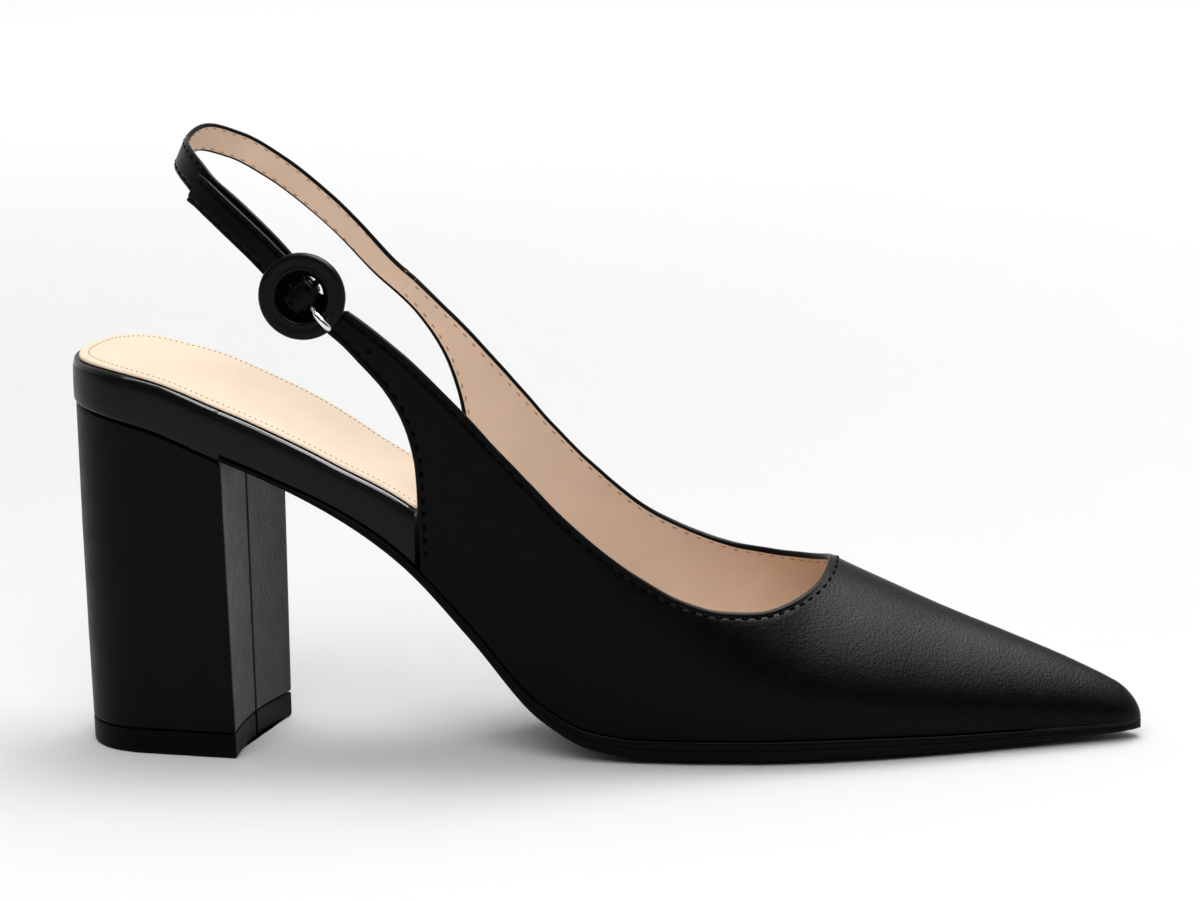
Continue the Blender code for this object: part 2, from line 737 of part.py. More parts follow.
def loop_place(angle):
    """Place and outward direction on the loop that the straps follow, seen from above."""
    side = np.sign(angle)
    turned = np.radians(np.minimum(np.abs(angle), 90.0))
    beyond = np.radians(np.maximum(np.abs(angle) - 90.0, 0.0))
    x = to_x(LOOP_SHARE) + LOOP_DEPTH * (1 - np.cos(turned) + beyond)
    y = LOOP_CENTRE + side * LOOP_HALF_WIDTH * np.sin(turned)
    normal = np.stack([-np.cos(turned) / LOOP_DEPTH, side * np.sin(turned) / LOOP_HALF_WIDTH, 0 * x], -1)
    return np.stack([x, y, 0 * x], -1), normal / np.linalg.norm(normal, axis=-1, keepdims=True)


def strap_path(table, count):
    """Points, outward directions and widthways directions along the middle line of a strap."""
    index = np.arange(len(table))
    at = np.linspace(0, len(table) - 1, count)
    angle = smooth(index, np.array([row[0] for row in table]), at)
    height = smooth(index, np.array([row[1] for row in table]), at)
    lean = smooth(index, np.array([row[2] for row in table]), at)[:, None] * STRAP_LEAN
    points, normal = loop_place(angle)
    points[:, 2] = SEAT_HEIGHT + STRAP_RISE * height
    forward = np.gradient(points, axis=0)
    forward = unit(forward - normal * (forward * normal).sum(-1, keepdims=True))
    wide = np.cross(normal, forward)
    wide *= np.sign(wide[:, 2:3])
    return points, normal * np.cos(lean) + wide * np.sin(lean), wide * np.cos(lean) - normal * np.sin(lean)


def run_along(points):
    return np.concatenate([[0.0], np.cumsum(np.linalg.norm(np.diff(points, axis=0), axis=1))])


def resample(run, values, at):
    return np.stack([np.interp(at, run, values[:, k]) for k in range(3)], -1)


def find_bar():
    """Centre of the bar's seat on the loop, the way along the holed strap to the wing, across it and outward."""
    seat = strap_path(SLING, 400)[0][-1]
    points, normal, wide = strap_path(HOLED, 400)
    nearest = np.argmin(np.linalg.norm(points - seat, axis=1))
    along = unit(np.cross(wide[nearest], normal[nearest]))
    return seat, along * np.sign(along[0]), wide[nearest], normal[nearest]


BAR = find_bar()


def strap_grids(points, normal, wide, depth, thickness, rows):
    """Inner and outer points of a flat strap laid along a line at a depth outward from it."""
    run = run_along(points)
    slope = np.gradient(depth, run)[:, None]
    forward = unit(np.gradient(points, axis=0))
    rise = unit(normal - slope * forward)
    middle = points + depth[:, None] * normal
    across = wide[:, None, :] * (STRAP_WIDTH / 2 * spread(rows))[None, :, None]
    return middle[:, None, :] + across, (middle + thickness * rise)[:, None, :] + across


def holed_strap_grids():
    """Holed strap from its free end, through the buckle, to just short of the lateral wing."""
    points, normal, wide = strap_path(HOLED, 600)
    run = run_along(points)
    bar_run = run[np.argmin(np.linalg.norm(points - BAR[0], axis=1))]
    runs = np.array([row[0] for row in LACING]) * BAR_DEPTH
    depths = np.array([row[1] for row in LACING]) * BAR_DEPTH
    to_buckle = np.linspace(STRAP_JOIN, bar_run - 2.03 * BAR_DEPTH, 4)
    over_bar = bar_run + np.linspace(-1.79, 1.79, 23) * BAR_DEPTH
    to_end = np.linspace(bar_run + 2.41 * BAR_DEPTH, run[-1], 9)
    at = np.concatenate([to_buckle, over_bar, to_end])[::-1]
    depth = smooth(runs, depths, bar_run - at)
    points, normal, wide = (resample(run, values, at) for values in (points, normal, wide))
    inner, outer = strap_grids(points, unit(normal), unit(wide), depth, STRAP_THICKNESS, WALL_ROWS + 1)
    return outer, inner


def make_upper(leather):
    strap_outer, strap_inner = holed_strap_grids()
    points = []
    faces = []
    start = 0
    for side in (-1, 1):
        outer, inner, throat = wall_grids(side)
        if side < 0:
            outer = np.concatenate([strap_outer, outer])
            inner = np.concatenate([strap_inner, inner])
            throat += len(strap_outer)
        rows, columns = outer.shape[:2]
        count = rows * columns
        faces += sheet_faces(rows, columns, start, side < 0)
        faces += sheet_faces(rows, columns, start + count, side > 0)
        rim = [(i * columns, (i + 1) * columns) for i in range(rows - 1)]
        rim += [(j, j + 1) for j in range(columns - 1)]
        rim += [((i + 1) * columns - 1, (i + 2) * columns - 1) for i in range(throat)]
        faces += [(start + a, start + b, start + count + b, start + count + a) for a, b in rim]
        points += [outer.reshape(-1, 3), inner.reshape(-1, 3)]
        start += 2 * count
    upper = mesh_object("upper", np.concatenate(points), faces, leather)
    for cutter in (punched_hole(), prong_hole()):
        boolean(upper, cutter, "DIFFERENCE")
    return upper


def make_sling_strap(leather):
    """Sling strap, whose end folds round the bar with a slot for the prong."""
    points, normal, wide = strap_path(SLING, 900)
    run = run_along(points)
    lead = 1.2 * FOLD_RADIUS
    to_fold = np.linspace(0, run[-1] - 3.33 * lead, 44)
    at = np.concatenate([to_fold, run[-1] - lead * np.array([2.75, 2.25, 1.75, 1.33, 1.0])])
    depth = 0.4 * STRAP_THICKNESS * ease((at - run[-1]) / lead + 2.0)
    points, normal, wide = (resample(run, values, at) for values in (points, normal, wide))
    inner, outer = strap_grids(points, unit(normal), unit(wide), depth, STRAP_THICKNESS, 3)
    fold = np.radians(np.arange(-90, 151, 15))[:, None]
    across = STRAP_WIDTH / 2 * spread(3)[None, :] + 0 * fold
    rolled = []
    for radius in (FOLD_RADIUS, FOLD_RADIUS - LOOP_LEATHER):
        along = radius * np.cos(fold) + 0 * across
        rolled.append(at_bar(along, across, BAR_DEPTH + radius * np.sin(fold) + 0 * across))
    low = np.concatenate([inner, rolled[0]])
    high = np.concatenate([outer, rolled[1]])
    strap = slab("sling_strap", low, high, leather)
    boolean(strap, prong_slot(), "DIFFERENCE")
    return strap


# Buckle


def at_bar(along, across, depth):
    """Place given by its run along the strap from the bar, its reach across it and its depth outward."""
    centre, forward, wide, out = BAR
    return (
        centre
        + np.multiply.outer(np.asarray(along, float), forward)
        + np.multiply.outer(np.asarray(across, float), wide)
        + np.multiply.outer(np.asarray(depth, float), out)
    )


def ring_of(points_of, name, count, profile_count, closed, material):
    """A body swept from a closed profile, round a closed line or capped at both ends."""
    points = []
    for i in range(count):
        points += [points_of(i, j) for j in range(profile_count)]
    faces = []
    for i in range(count if closed else count - 1):
        for j in range(profile_count):
            a = i * profile_count + j
            b = i * profile_count + (j + 1) % profile_count
            c = ((i + 1) % count) * profile_count + (j + 1) % profile_count
            d = ((i + 1) % count) * profile_count + j
            faces.append((a, b, c, d))
    if not closed:
        faces.append(tuple(range(profile_count)))
        faces.append(tuple(range((count - 1) * profile_count, count * profile_count))[::-1])
    return mesh_object(name, np.array(points), faces, material)


def tube(name, line, sideways, radius, sides, material):
    """A round bar along a line that lies in one plane, whose square direction is sideways."""
    line = np.asarray(line)
    radius = radius * np.ones(len(line))
    forward = unit(np.gradient(line, axis=0))
    second = np.cross(forward, sideways)

    def place(i, j):
        angle = 2 * math.pi * j / sides
        return line[i] + radius[i] * (math.cos(angle) * sideways + math.sin(angle) * second[i])

    return ring_of(place, name, len(line), sides, False, material)


def prong_slot():
    """Cutter that clears the prong through the fold, its corners being shares of the bar's depth."""
    half = PRONG_DIAMETER / 2 + GAP
    corners = [(-0.90, -0.07), (1.17, -0.07), (1.17, 2.24), (-0.90, 2.24)]
    points = [at_bar(a * BAR_DEPTH, side * half, d * BAR_DEPTH) for side in (-1, 1) for a, d in corners]
    faces = [(0, 1, 2, 3), (7, 6, 5, 4)] + [(i, (i + 1) % 4, 4 + (i + 1) % 4, 4 + i) for i in range(4)]
    return mesh_object("prong_slot", np.array(points), faces, material("slot", (0.05, 0.05, 0.05), 0.5), False)


def prong_line(count):
    index = np.arange(len(PRONG))
    at = np.linspace(0, len(PRONG) - 1, count)
    along = smooth(index, np.array([row[0] for row in PRONG]), at) * BAR_DEPTH
    depth = smooth(index, np.array([row[1] for row in PRONG]), at) * BAR_DEPTH
    return at_bar(along, 0 * along, depth)


def prong_hole():
    """Cutter along the prong from above the bar on."""
    line = prong_line(31)[12:]
    radius = PRONG_DIAMETER / 2 + PRONG_PLAY
    return tube("prong_hole", line, BAR[2], radius, 10, material("hole", (0.05, 0.05, 0.05), 0.5))


def punched_hole():
    """The hole of the lateral wing that the prong leaves free."""
    x = to_x(PUNCH_SHARE)
    height = SEAT_HEIGHT + PUNCH_RISE * STRAP_RISE
    line = np.array([(x, LOOP_CENTRE + reach * LOOP_HALF_WIDTH, height) for reach in (-1.3, -0.8)])
    way = np.array([1.0, 0.0, 0.0])
    return tube("punched_hole", line, way, PUNCH_DIAMETER / 2, 10, material("punch", (0.05, 0.05, 0.05), 0.5))


def make_buckle(covering):
    """Round ring with its bar behind it."""
    inner, outer = BUCKLE_HOLE / 2, BUCKLE_DIAMETER / 2
    low, high = BUCKLE_DEPTH, BUCKLE_DEPTH + BUCKLE_THICKNESS
    profile = []
    for radius, depth, first in ((outer, high, 0), (inner, high, 90), (inner, low, 180), (outer, low, 270)):
        for step in range(3):
            angle = math.radians(first + 45 * step)
            r = radius - math.copysign(BUCKLE_ROUND, radius - (inner + outer) / 2) + BUCKLE_ROUND * math.cos(angle)
            d = depth - math.copysign(BUCKLE_ROUND, depth - (low + high) / 2) + BUCKLE_ROUND * math.sin(angle)
            profile.append((r, d))

    def place(i, j):
        angle = 2 * math.pi * i / 36
        radius, depth = profile[j]
        return at_bar(radius * math.cos(angle), radius * math.sin(angle), depth)

    ring = ring_of(place, "buckle", 36, len(profile), True, covering)
    across = np.array([row[0] for row in BAR_ROUTE]) * (inner + outer) / 2
    rim = BUCKLE_DEPTH + BUCKLE_THICKNESS / 3
    depth = BAR_DEPTH + (rim - BAR_DEPTH) * np.array([row[1] for row in BAR_ROUTE])
    bar = tube("buckle_bar", at_bar(0 * across, across, depth), BAR[1], BAR_DIAMETER / 2, 10, covering)
    boolean(ring, bar, "UNION")
    return ring


def make_prong(metal):
    count = 26
    at = np.linspace(0, len(PRONG) - 1, count)
    growth = smooth(np.arange(len(PRONG)), np.array([row[2] for row in PRONG]), at)
    return tube("buckle_prong", prong_line(count), BAR[2], PRONG_DIAMETER / 2 * growth, 8, metal)


def main():
    clear_scene()
    black_leather = material("black_leather", (0.012, 0.012, 0.013), 0.42)
    strap_leather = material("strap_leather", (0.014, 0.014, 0.015), 0.45)
    wrap_leather = material("wrap_leather", (0.013, 0.013, 0.014), 0.38)
    heel_leather = material("heel_leather", (0.014, 0.014, 0.015), 0.48)
    cream_lining = material("cream_lining", (0.86, 0.68, 0.50), 0.55)
    sole_rubber = material("sole_rubber", (0.02, 0.02, 0.02), 0.6)
    tread_rubber = material("tread_rubber", (0.01, 0.01, 0.01), 0.65)
    covered_ring = material("covered_ring", (0.012, 0.012, 0.013), 0.4)
    polished_metal = material("polished_metal", (0.75, 0.75, 0.76), 0.15, 1.0)
    make_outsole(sole_rubber)
    make_heel_block(heel_leather)
    make_top_piece(tread_rubber)
    make_footbed(wrap_leather)
    make_sock(cream_lining)
    make_upper(black_leather)
    make_sling_strap(strap_leather)
    make_buckle(covered_ring)
    make_prong(polished_metal)


main()
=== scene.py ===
"""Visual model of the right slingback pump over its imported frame. Metres, +X to the toe, +Y medial, +Z up."""

import math

import bmesh
import bpy
import numpy as np
from mathutils import Matrix, Vector
from mathutils.bvhtree import BVHTree


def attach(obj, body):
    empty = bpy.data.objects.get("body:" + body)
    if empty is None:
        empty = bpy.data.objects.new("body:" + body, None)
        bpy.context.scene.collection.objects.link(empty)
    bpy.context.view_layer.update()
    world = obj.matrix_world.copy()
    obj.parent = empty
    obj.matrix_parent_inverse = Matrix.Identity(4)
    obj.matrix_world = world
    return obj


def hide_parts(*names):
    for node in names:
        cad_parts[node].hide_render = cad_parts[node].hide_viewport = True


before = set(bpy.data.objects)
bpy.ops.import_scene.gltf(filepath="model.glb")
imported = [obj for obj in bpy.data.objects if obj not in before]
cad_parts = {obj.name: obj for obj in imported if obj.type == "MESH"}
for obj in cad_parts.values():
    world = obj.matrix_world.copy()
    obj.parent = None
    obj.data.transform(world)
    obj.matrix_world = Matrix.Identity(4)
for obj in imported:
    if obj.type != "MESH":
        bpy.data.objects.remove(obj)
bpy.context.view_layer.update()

MM = 0.001

# Overall sizes
SHOE_LENGTH = 245.0 * MM
BACK_REACH = 19.0 * MM
BALL_WIDTH = 61.0 * MM
SEAT_WIDTH = 48.4 * MM
SEAT_HEIGHT = 82.0 * MM
RIM_HEIGHT = 11.5 * MM
SOLE_THICKNESS = 4.4 * MM
EDGE_LIFT = 1.4 * MM
TOE_SPRING = 2.3 * MM
INSTEP_HEIGHT = 36.3 * MM
BACK_ROUND = 20.0 * MM
TOE_ROUND = 6.0 * MM

# Footbed and sock, whose edge steps in behind the upper's wall
BOARD_TIP = 0.90
SOCK_TIP = 0.885
TIP_ROUND = 14.0 * MM
SOCK_THICKNESS = 0.8 * MM
SOCK_MARGIN = 1.4 * MM
SEAT_TILT = 2.4 * MM
TUCK_LEAD = 1.0 * MM
TUCK_RUN = 0.6 * MM
BREAST_STEP = 0.02 * MM

# Walls and clearances
UPPER_WALL = 1.6 * MM
SIDE_RISE = 0.42
TOE_CAVITY = 9.0 * MM
FEATHER_INSET = 0.4 * MM
GAP = 0.3 * MM

# Heel
HEEL_TURN = math.radians(11.0)
HEEL_BREAST = 22.6 * MM
HEEL_BACK = 17.6 * MM
HEEL_BASE_WIDTH = 40.0 * MM
HEEL_LEAN = 1.1 * MM
HEEL_INSET = 1.2 * MM
BREAST_HOLLOW = 2.0 * MM
GROOVE_WIDTH = 1.2 * MM
GROOVE_DEPTH = 0.8 * MM
BACK_FLAT = 0.15
TOP_PIECE_HEIGHT = 5.8 * MM

# Strap, which loops back from the wings
STRAP_WIDTH = 7.1 * MM
STRAP_THICKNESS = 1.3 * MM
STRAP_RISE = 56.4 * MM
STRAP_LEAN = math.radians(24.0)
STRAP_JOIN = 1.3 * MM
LOOP_SHARE = 0.1086
LOOP_DEPTH = 0.1331 * SHOE_LENGTH
LOOP_HALF_WIDTH = 27.0 * MM
LOOP_CENTRE = -4.7 * MM
PUNCH_DIAMETER = 1.3 * MM
PUNCH_SHARE = 0.2914
PUNCH_RISE = 0.273

# Buckle, with depths measured outward from the sling strap's inner face
BUCKLE_DIAMETER = 19.8 * MM
BUCKLE_HOLE = 11.5 * MM
BUCKLE_THICKNESS = 2.4 * MM
BUCKLE_DEPTH = 4.0 * MM
BAR_DIAMETER = 1.4 * MM
BAR_DEPTH = 2.9 * MM
PRONG_DIAMETER = 1.2 * MM
PRONG_PLAY = 0.35 * MM
BAR_PLAY = 0.3 * MM
LOOP_LEATHER = 1.0 * MM
FOLD_RADIUS = BAR_DIAMETER / 2 + BAR_PLAY + LOOP_LEATHER

# Plan of the sole: centre and half width, and the turn of each section, from the back to the toe.
# share of length, centre of ball width, turn in degrees, half width of seat width, half width of ball width
PLAN = (
    (0.000, 0.059, 11.0, 0.500, 0.000),
    (0.100, -0.016, 11.0, 0.500, 0.000),
    (0.150, -0.056, 11.0, 0.496, 0.000),
    (0.200, -0.093, 10.5, 0.479, 0.000),
    (0.260, -0.125, 8.5, 0.438, 0.000),
    (0.320, -0.134, 5.0, 0.407, 0.000),
    (0.380, -0.125, 1.5, 0.000, 0.320),
    (0.440, -0.082, 0.0, 0.000, 0.356),
    (0.490, -0.033, 0.0, 0.000, 0.410),
    (0.540, 0.010, 0.0, 0.000, 0.462),
    (0.590, 0.033, 0.0, 0.000, 0.495),
    (0.640, 0.041, 0.0, 0.000, 0.500),
    (0.690, 0.043, 0.0, 0.000, 0.479),
    (0.750, 0.039, 0.0, 0.000, 0.423),
    (0.810, 0.036, 0.0, 0.000, 0.347),
    (0.870, 0.033, 0.0, 0.000, 0.262),
    (0.930, 0.030, 0.0, 0.000, 0.174),
    (0.965, 0.027, 0.0, 0.000, 0.121),
    (1.000, 0.025, 0.0, 0.000, 0.062),
)

# Side profile of the sole: underside, toe spring, thickness, top of the footbed above the underside, edge lift.
# share of length, of seat height, of toe spring, of sole thickness, of rim height, of edge lift
PROFILE = (
    (0.000, 1.000, 0.00, 0.50, 0.790, 0.0),
    (0.050, 0.976, 0.00, 0.50, 0.930, 0.0),
    (0.100, 0.938, 0.00, 0.50, 0.990, 0.0),
    (0.150, 0.878, 0.00, 0.50, 1.030, 0.0),
    (0.200, 0.817, 0.00, 0.52, 1.020, 0.0),
    (0.260, 0.717, 0.00, 0.55, 1.060, 0.0),
    (0.320, 0.570, 0.00, 0.57, 1.330, 0.0),
    (0.380, 0.350, 0.00, 0.73, 1.700, 0.0),
    (0.440, 0.115, 0.00, 0.84, 1.560, 0.6),
    (0.490, 0.024, 0.00, 0.93, 1.020, 0.9),
    (0.540, 0.000, 0.00, 1.00, 0.780, 1.0),
    (0.590, 0.000, 0.00, 1.00, 0.700, 1.0),
    (0.690, 0.000, 0.00, 1.00, 0.680, 1.0),
    (0.750, 0.000, 0.00, 0.95, 0.665, 1.0),
    (0.810, 0.000, 0.07, 0.84, 0.620, 0.9),
    (0.870, 0.000, 0.26, 0.70, 0.560, 0.8),
    (0.930, 0.000, 0.54, 0.55, 0.480, 0.6),
    (1.000, 0.000, 1.00, 0.32, 0.380, 0.3),
)

# Last above the feather line: ridge, then how far the side leans out and where the shoulder lies.
# share of length, ridge of instep height, side lean lateral and medial and shoulder lateral and medial of ball width
LAST = (
    (0.200, 2.29, 0.070, 0.250, 0.55, 0.62),
    (0.260, 2.33, 0.090, 0.300, 0.56, 0.62),
    (0.320, 2.36, 0.120, 0.320, 0.56, 0.60),
    (0.380, 2.51, 0.160, 0.330, 0.55, 0.60),
    (0.440, 2.65, 0.190, 0.300, 0.54, 0.58),
    (0.490, 2.41, 0.210, 0.260, 0.50, 0.54),
    (0.540, 2.04, 0.210, 0.220, 0.44, 0.47),
    (0.590, 1.67, 0.200, 0.200, 0.37, 0.38),
    (0.640, 1.34, 0.190, 0.190, 0.30, 0.30),
    (0.690, 1.067, 0.180, 0.180, 0.235, 0.235),
    (0.7085, 1.000, 0.175, 0.175, 0.215, 0.215),
    (0.750, 0.875, 0.160, 0.160, 0.18, 0.18),
    (0.810, 0.706, 0.130, 0.130, 0.14, 0.14),
    (0.870, 0.549, 0.100, 0.100, 0.11, 0.11),
    (0.930, 0.386, 0.070, 0.070, 0.08, 0.08),
    (0.965, 0.278, 0.045, 0.045, 0.06, 0.06),
    (0.980, 0.225, 0.038, 0.038, 0.045, 0.045),
    (1.000, 0.150, 0.030, 0.030, 0.035, 0.035),
)

# Lower and upper edge of each side of the upper, from the rear of the wing to the throat.
# lower edge: share of length and rise of instep height; topline: share of length and rise of instep height
LATERAL_EDGES = (
    (0.252, 1.117, 0.273, 1.349),
    (0.264, 1.100, 0.2865, 1.350),
    (0.282, 1.055, 0.309, 1.352),
    (0.300, 1.013, 0.331, 1.366),
    (0.317, 0.922, 0.355, 1.383),
    (0.326, 0.799, 0.373, 1.399),
    (0.330, 0.661, 0.388, 1.412),
    (0.331, 0.460, 0.402, 1.426),
    (0.331, 0.226, 0.414, 1.443),
    (0.331, 0.000, 0.424, 1.451),
    (0.345, 0.000, 0.436, 1.442),
    (0.375, 0.000, 0.455, 1.394),
    (0.415, 0.000, 0.478, 1.325),
    (0.465, 0.000, 0.505, 1.207),
    (0.515, 0.000, 0.537, 1.068),
    (0.560, 0.000, 0.571, 0.932),
    (0.605, 0.000, 0.610, 0.843),
    (0.645, 0.000, 0.647, 0.819),
    (0.672, 0.000, 0.672, 0.841),
    (0.689, 0.000, 0.689, 0.878),
    (0.701, 0.000, 0.701, 0.929),
    (0.7070, 0.000, 0.7070, 0.976),
    (0.7085, 0.000, 0.7085, 1.003),
)
MEDIAL_EDGES = (
    (0.292, 1.171, 0.311, 1.394),
    (0.298, 1.169, 0.321, 1.392),
    (0.307, 1.161, 0.3355, 1.397),
    (0.318, 1.135, 0.351, 1.421),
    (0.327, 1.104, 0.367, 1.447),
    (0.336, 1.054, 0.384, 1.466),
    (0.344, 0.967, 0.401, 1.488),
    (0.350, 0.860, 0.420, 1.507),
    (0.354, 0.693, 0.438, 1.488),
    (0.3555, 0.388, 0.453, 1.445),
    (0.3555, 0.000, 0.467, 1.400),
    (0.371, 0.000, 0.480, 1.356),
    (0.402, 0.000, 0.498, 1.270),
    (0.439, 0.000, 0.520, 1.168),
    (0.482, 0.000, 0.545, 1.074),
    (0.5245, 0.000, 0.571, 0.995),
    (0.565, 0.000, 0.598, 0.936),
    (0.605, 0.000, 0.622, 0.907),
    (0.645, 0.000, 0.653, 0.900),
    (0.672, 0.000, 0.674, 0.911),
    (0.689, 0.000, 0.690, 0.927),
    (0.701, 0.000, 0.701, 0.954),
    (0.7070, 0.000, 0.7070, 0.984),
    (0.7085, 0.000, 0.7085, 1.003),
)

# Middle line of the sling strap from the medial wing round the back to the bar.
# angle round the loop in degrees, lateral side negative; height above the seat of strap rise; inward lean of full lean
SLING = (
    (114.3, 0.372, 0.30),
    (105.5, 0.450, 0.50),
    (91.1, 0.606, 0.80),
    (79.0, 0.724, 0.95),
    (62.4, 0.862, 1.05),
    (43.3, 0.972, 1.05),
    (22.0, 1.025, 1.00),
    (0.0, 1.000, 1.00),
    (-16.0, 0.985, 0.95),
    (-29.4, 0.949, 0.80),
    (-41.7, 0.886, 0.55),
    (-53.1, 0.828, 0.35),
    (-67.8, 0.718, 0.10),
    (-76.1, 0.635, 0.00),
    (-81.9, 0.558, 0.00),
    (-86.6, 0.507, 0.00),
)

# Middle line of the holed strap from the lateral wing through the buckle to its free end, in the same columns.
HOLED = (
    (-98.9, 0.378, 0.00),
    (-91.4, 0.453, 0.00),
    (-86.6, 0.507, 0.00),
    (-75.5, 0.622, 0.00),
    (-68.0, 0.693, 0.10),
    (-59.2, 0.762, 0.25),
    (-49.8, 0.825, 0.40),
    (-40.3, 0.875, 0.55),
    (-35.5, 0.890, 0.65),
)

# Route of the holed strap through the buckle: run along it from the bar towards the wing, and depth outward.
# run of bar depth, depth of its inner face of bar depth
LACING = (
    (-7.20, 0.60),
    (-3.20, 0.60),
    (-2.10, 0.60),
    (-1.55, 0.68),
    (-1.14, 0.93),
    (-0.90, 1.31),
    (-0.62, 1.69),
    (-0.31, 1.88),
    (0.00, 1.93),
    (0.31, 1.88),
    (0.62, 1.69),
    (0.90, 1.31),
    (1.14, 0.93),
    (1.55, 0.68),
    (2.10, 0.60),
    (2.80, 0.48),
    (3.60, 0.20),
)

# Route of the prong round the bar and on to the rim, and its growing thickness.
# run of bar depth, depth of bar depth, diameter of prong diameter
PRONG = (
    (0.00, 0.45, 1.00),
    (-0.39, 0.61, 1.00),
    (-0.55, 1.00, 1.00),
    (-0.39, 1.39, 1.00),
    (0.00, 1.55, 1.00),
    (0.42, 1.58, 1.00),
    (0.90, 1.78, 1.00),
    (1.38, 2.16, 1.10),
    (1.90, 2.52, 1.30),
    (2.50, 2.60, 1.40),
    (3.40, 2.60, 1.40),
)

# Route of the bar from rim to rim: reach across it of the ring's mean radius, and how far it has risen to the rim.
BAR_ROUTE = (
    (-1.000, 1.000),
    (-0.936, 0.263),
    (-0.834, 0.000),
    (0.000, 0.000),
    (0.834, 0.000),
    (0.936, 0.263),
    (1.000, 1.000),
)


def through(table, column, shares):
    """A smooth curve through one column of a table, with no overshoot between rows."""
    x = np.array([row[0] for row in table])
    y = np.array([row[column] for row in table])
    return smooth(x, y, shares)


def smooth(x, y, at):
    step = np.diff(x)
    rate = np.diff(y) / step
    slope = np.concatenate([rate[:1], np.zeros(len(x) - 2), rate[-1:]])
    for i in range(1, len(x) - 1):
        if rate[i - 1] * rate[i] > 0:
            before = 2 * step[i] + step[i - 1]
            after = step[i] + 2 * step[i - 1]
            slope[i] = (before + after) / (before / rate[i - 1] + after / rate[i])
    at = np.clip(np.asarray(at, float), x[0], x[-1])
    i = np.clip(np.searchsorted(x, at, side="right") - 1, 0, len(step) - 1)
    t = (at - x[i]) / step[i]
    return (
        y[i] * (1 + 2 * t) * (1 - t) ** 2
        + slope[i] * step[i] * t * (1 - t) ** 2
        + y[i + 1] * t**2 * (3 - 2 * t)
        + slope[i + 1] * step[i] * t**2 * (t - 1)
    )


def traced(table, count):
    """Smooth curves through every column of a table, at even steps from its first row to its last."""
    rows = np.array(table)
    at = np.linspace(0, len(rows) - 1, count)
    return [smooth(np.arange(len(rows)), column, at) for column in rows.T]


def ease(t):
    t = np.clip(t, 0.0, 1.0)
    return t * t * (3 - 2 * t)


def round_end(t):
    """Half width of a rounded end, from 0 at its tip to 1 where it meets the straight side."""
    power = 2.3
    return np.maximum(1 - (1 - np.clip(t, 0.0, 1.0)) ** power, 0.0) ** (1 / power)


def to_share(x):
    return (np.asarray(x) + BACK_REACH) / SHOE_LENGTH


def to_x(share):
    return np.asarray(share) * SHOE_LENGTH - BACK_REACH


def half_width(share, margin=0.0, tip=1.0, tip_round=TOE_ROUND):
    """Half width of the sole at a section, square to the line down its middle, less a margin all round."""
    share = np.asarray(share, float)
    plan = np.array(PLAN)
    halves = plan[:, 3] * SEAT_WIDTH + plan[:, 4] * BALL_WIDTH
    back = round_end((share * SHOE_LENGTH - margin) / BACK_ROUND)
    toe = round_end(((tip - share) * SHOE_LENGTH - margin) / tip_round)
    return np.maximum(smooth(plan[:, 0], halves, share) - margin, 0.0) * back * toe


def centre_y(share):
    return through(PLAN, 1, share) * BALL_WIDTH


def turn(share):
    return through(PLAN, 2, share) * HEEL_TURN / PLAN[0][2]


def underside(share):
    return through(PROFILE, 1, share) * SEAT_HEIGHT + through(PROFILE, 2, share) * TOE_SPRING


def sole_thickness(share):
    return through(PROFILE, 3, share) * SOLE_THICKNESS


def board_top(share, across):
    """Top of the footbed, whose seat falls from its lateral edge to its medial edge, across being metres."""
    tilt = SEAT_TILT * ease((0.42 - share) / 0.16) * ease(share / 0.08) * (across / SEAT_WIDTH + 0.5)
    return underside(share) + through(PROFILE, 4, share) * RIM_HEIGHT - tilt


def lift(share, across):
    """How far the sole's edges stand off the floor, across being a share of the half width."""
    return through(PROFILE, 5, share) * EDGE_LIFT * np.abs(across) ** 4


def section(share, across, height):
    """Points of a section across the sole, across being metres from its middle towards the medial side."""
    side = turn(share)
    x = to_x(share) + across * np.sin(side)
    y = centre_y(share) + across * np.cos(side)
    return np.stack([x, y, np.broadcast_to(height, np.shape(x))], -1)


BREAST_SHARE = float(to_share((HEEL_BREAST - HEEL_LEAN) * math.cos(HEEL_TURN)))


def sheet_faces(rows, columns, start=0, closed=False):
    """Faces between rows and columns of points, closed round the columns if asked."""
    faces = []
    for a in range(start, start + (rows - 1) * columns, columns):
        for j in range(columns if closed else columns - 1):
            k = (j + 1) % columns
            faces.append((a + j, a + k, a + columns + k, a + columns + j))
    return faces


def spread(count, first=-1.0, last=1.0):
    return np.linspace(first, last, count)


def end_spaced(count):
    """Shares from 0 to 1, close together near 0."""
    return 1 - np.cos(np.linspace(0, math.pi / 2, count))


def heel_outline(level):
    """Plan of the heel at a level from 0 on the floor to 1 at the seat: runs from back to breast, and half widths."""
    back = -HEEL_BACK - HEEL_LEAN * level
    breast = HEEL_BREAST - HEEL_LEAN * level
    along = back + (breast - back) * end_spaced(220)
    seat_half = half_width(to_share(along * math.cos(HEEL_TURN))) - HEEL_INSET
    base_half = HEEL_BASE_WIDTH / 2 * round_end((along - back) / (BACK_ROUND - HEEL_INSET))
    base_half[0] = BACK_FLAT * HEEL_BASE_WIDTH / 2
    seat_half = np.maximum(seat_half, base_half[0])
    return along, base_half + (seat_half - base_half) * level


def heel_place(along, across, height):
    x = along * math.cos(HEEL_TURN) + across * math.sin(HEEL_TURN)
    y = across * math.cos(HEEL_TURN) - along * math.sin(HEEL_TURN)
    return np.stack([x, y, np.broadcast_to(height, x.shape)], -1)


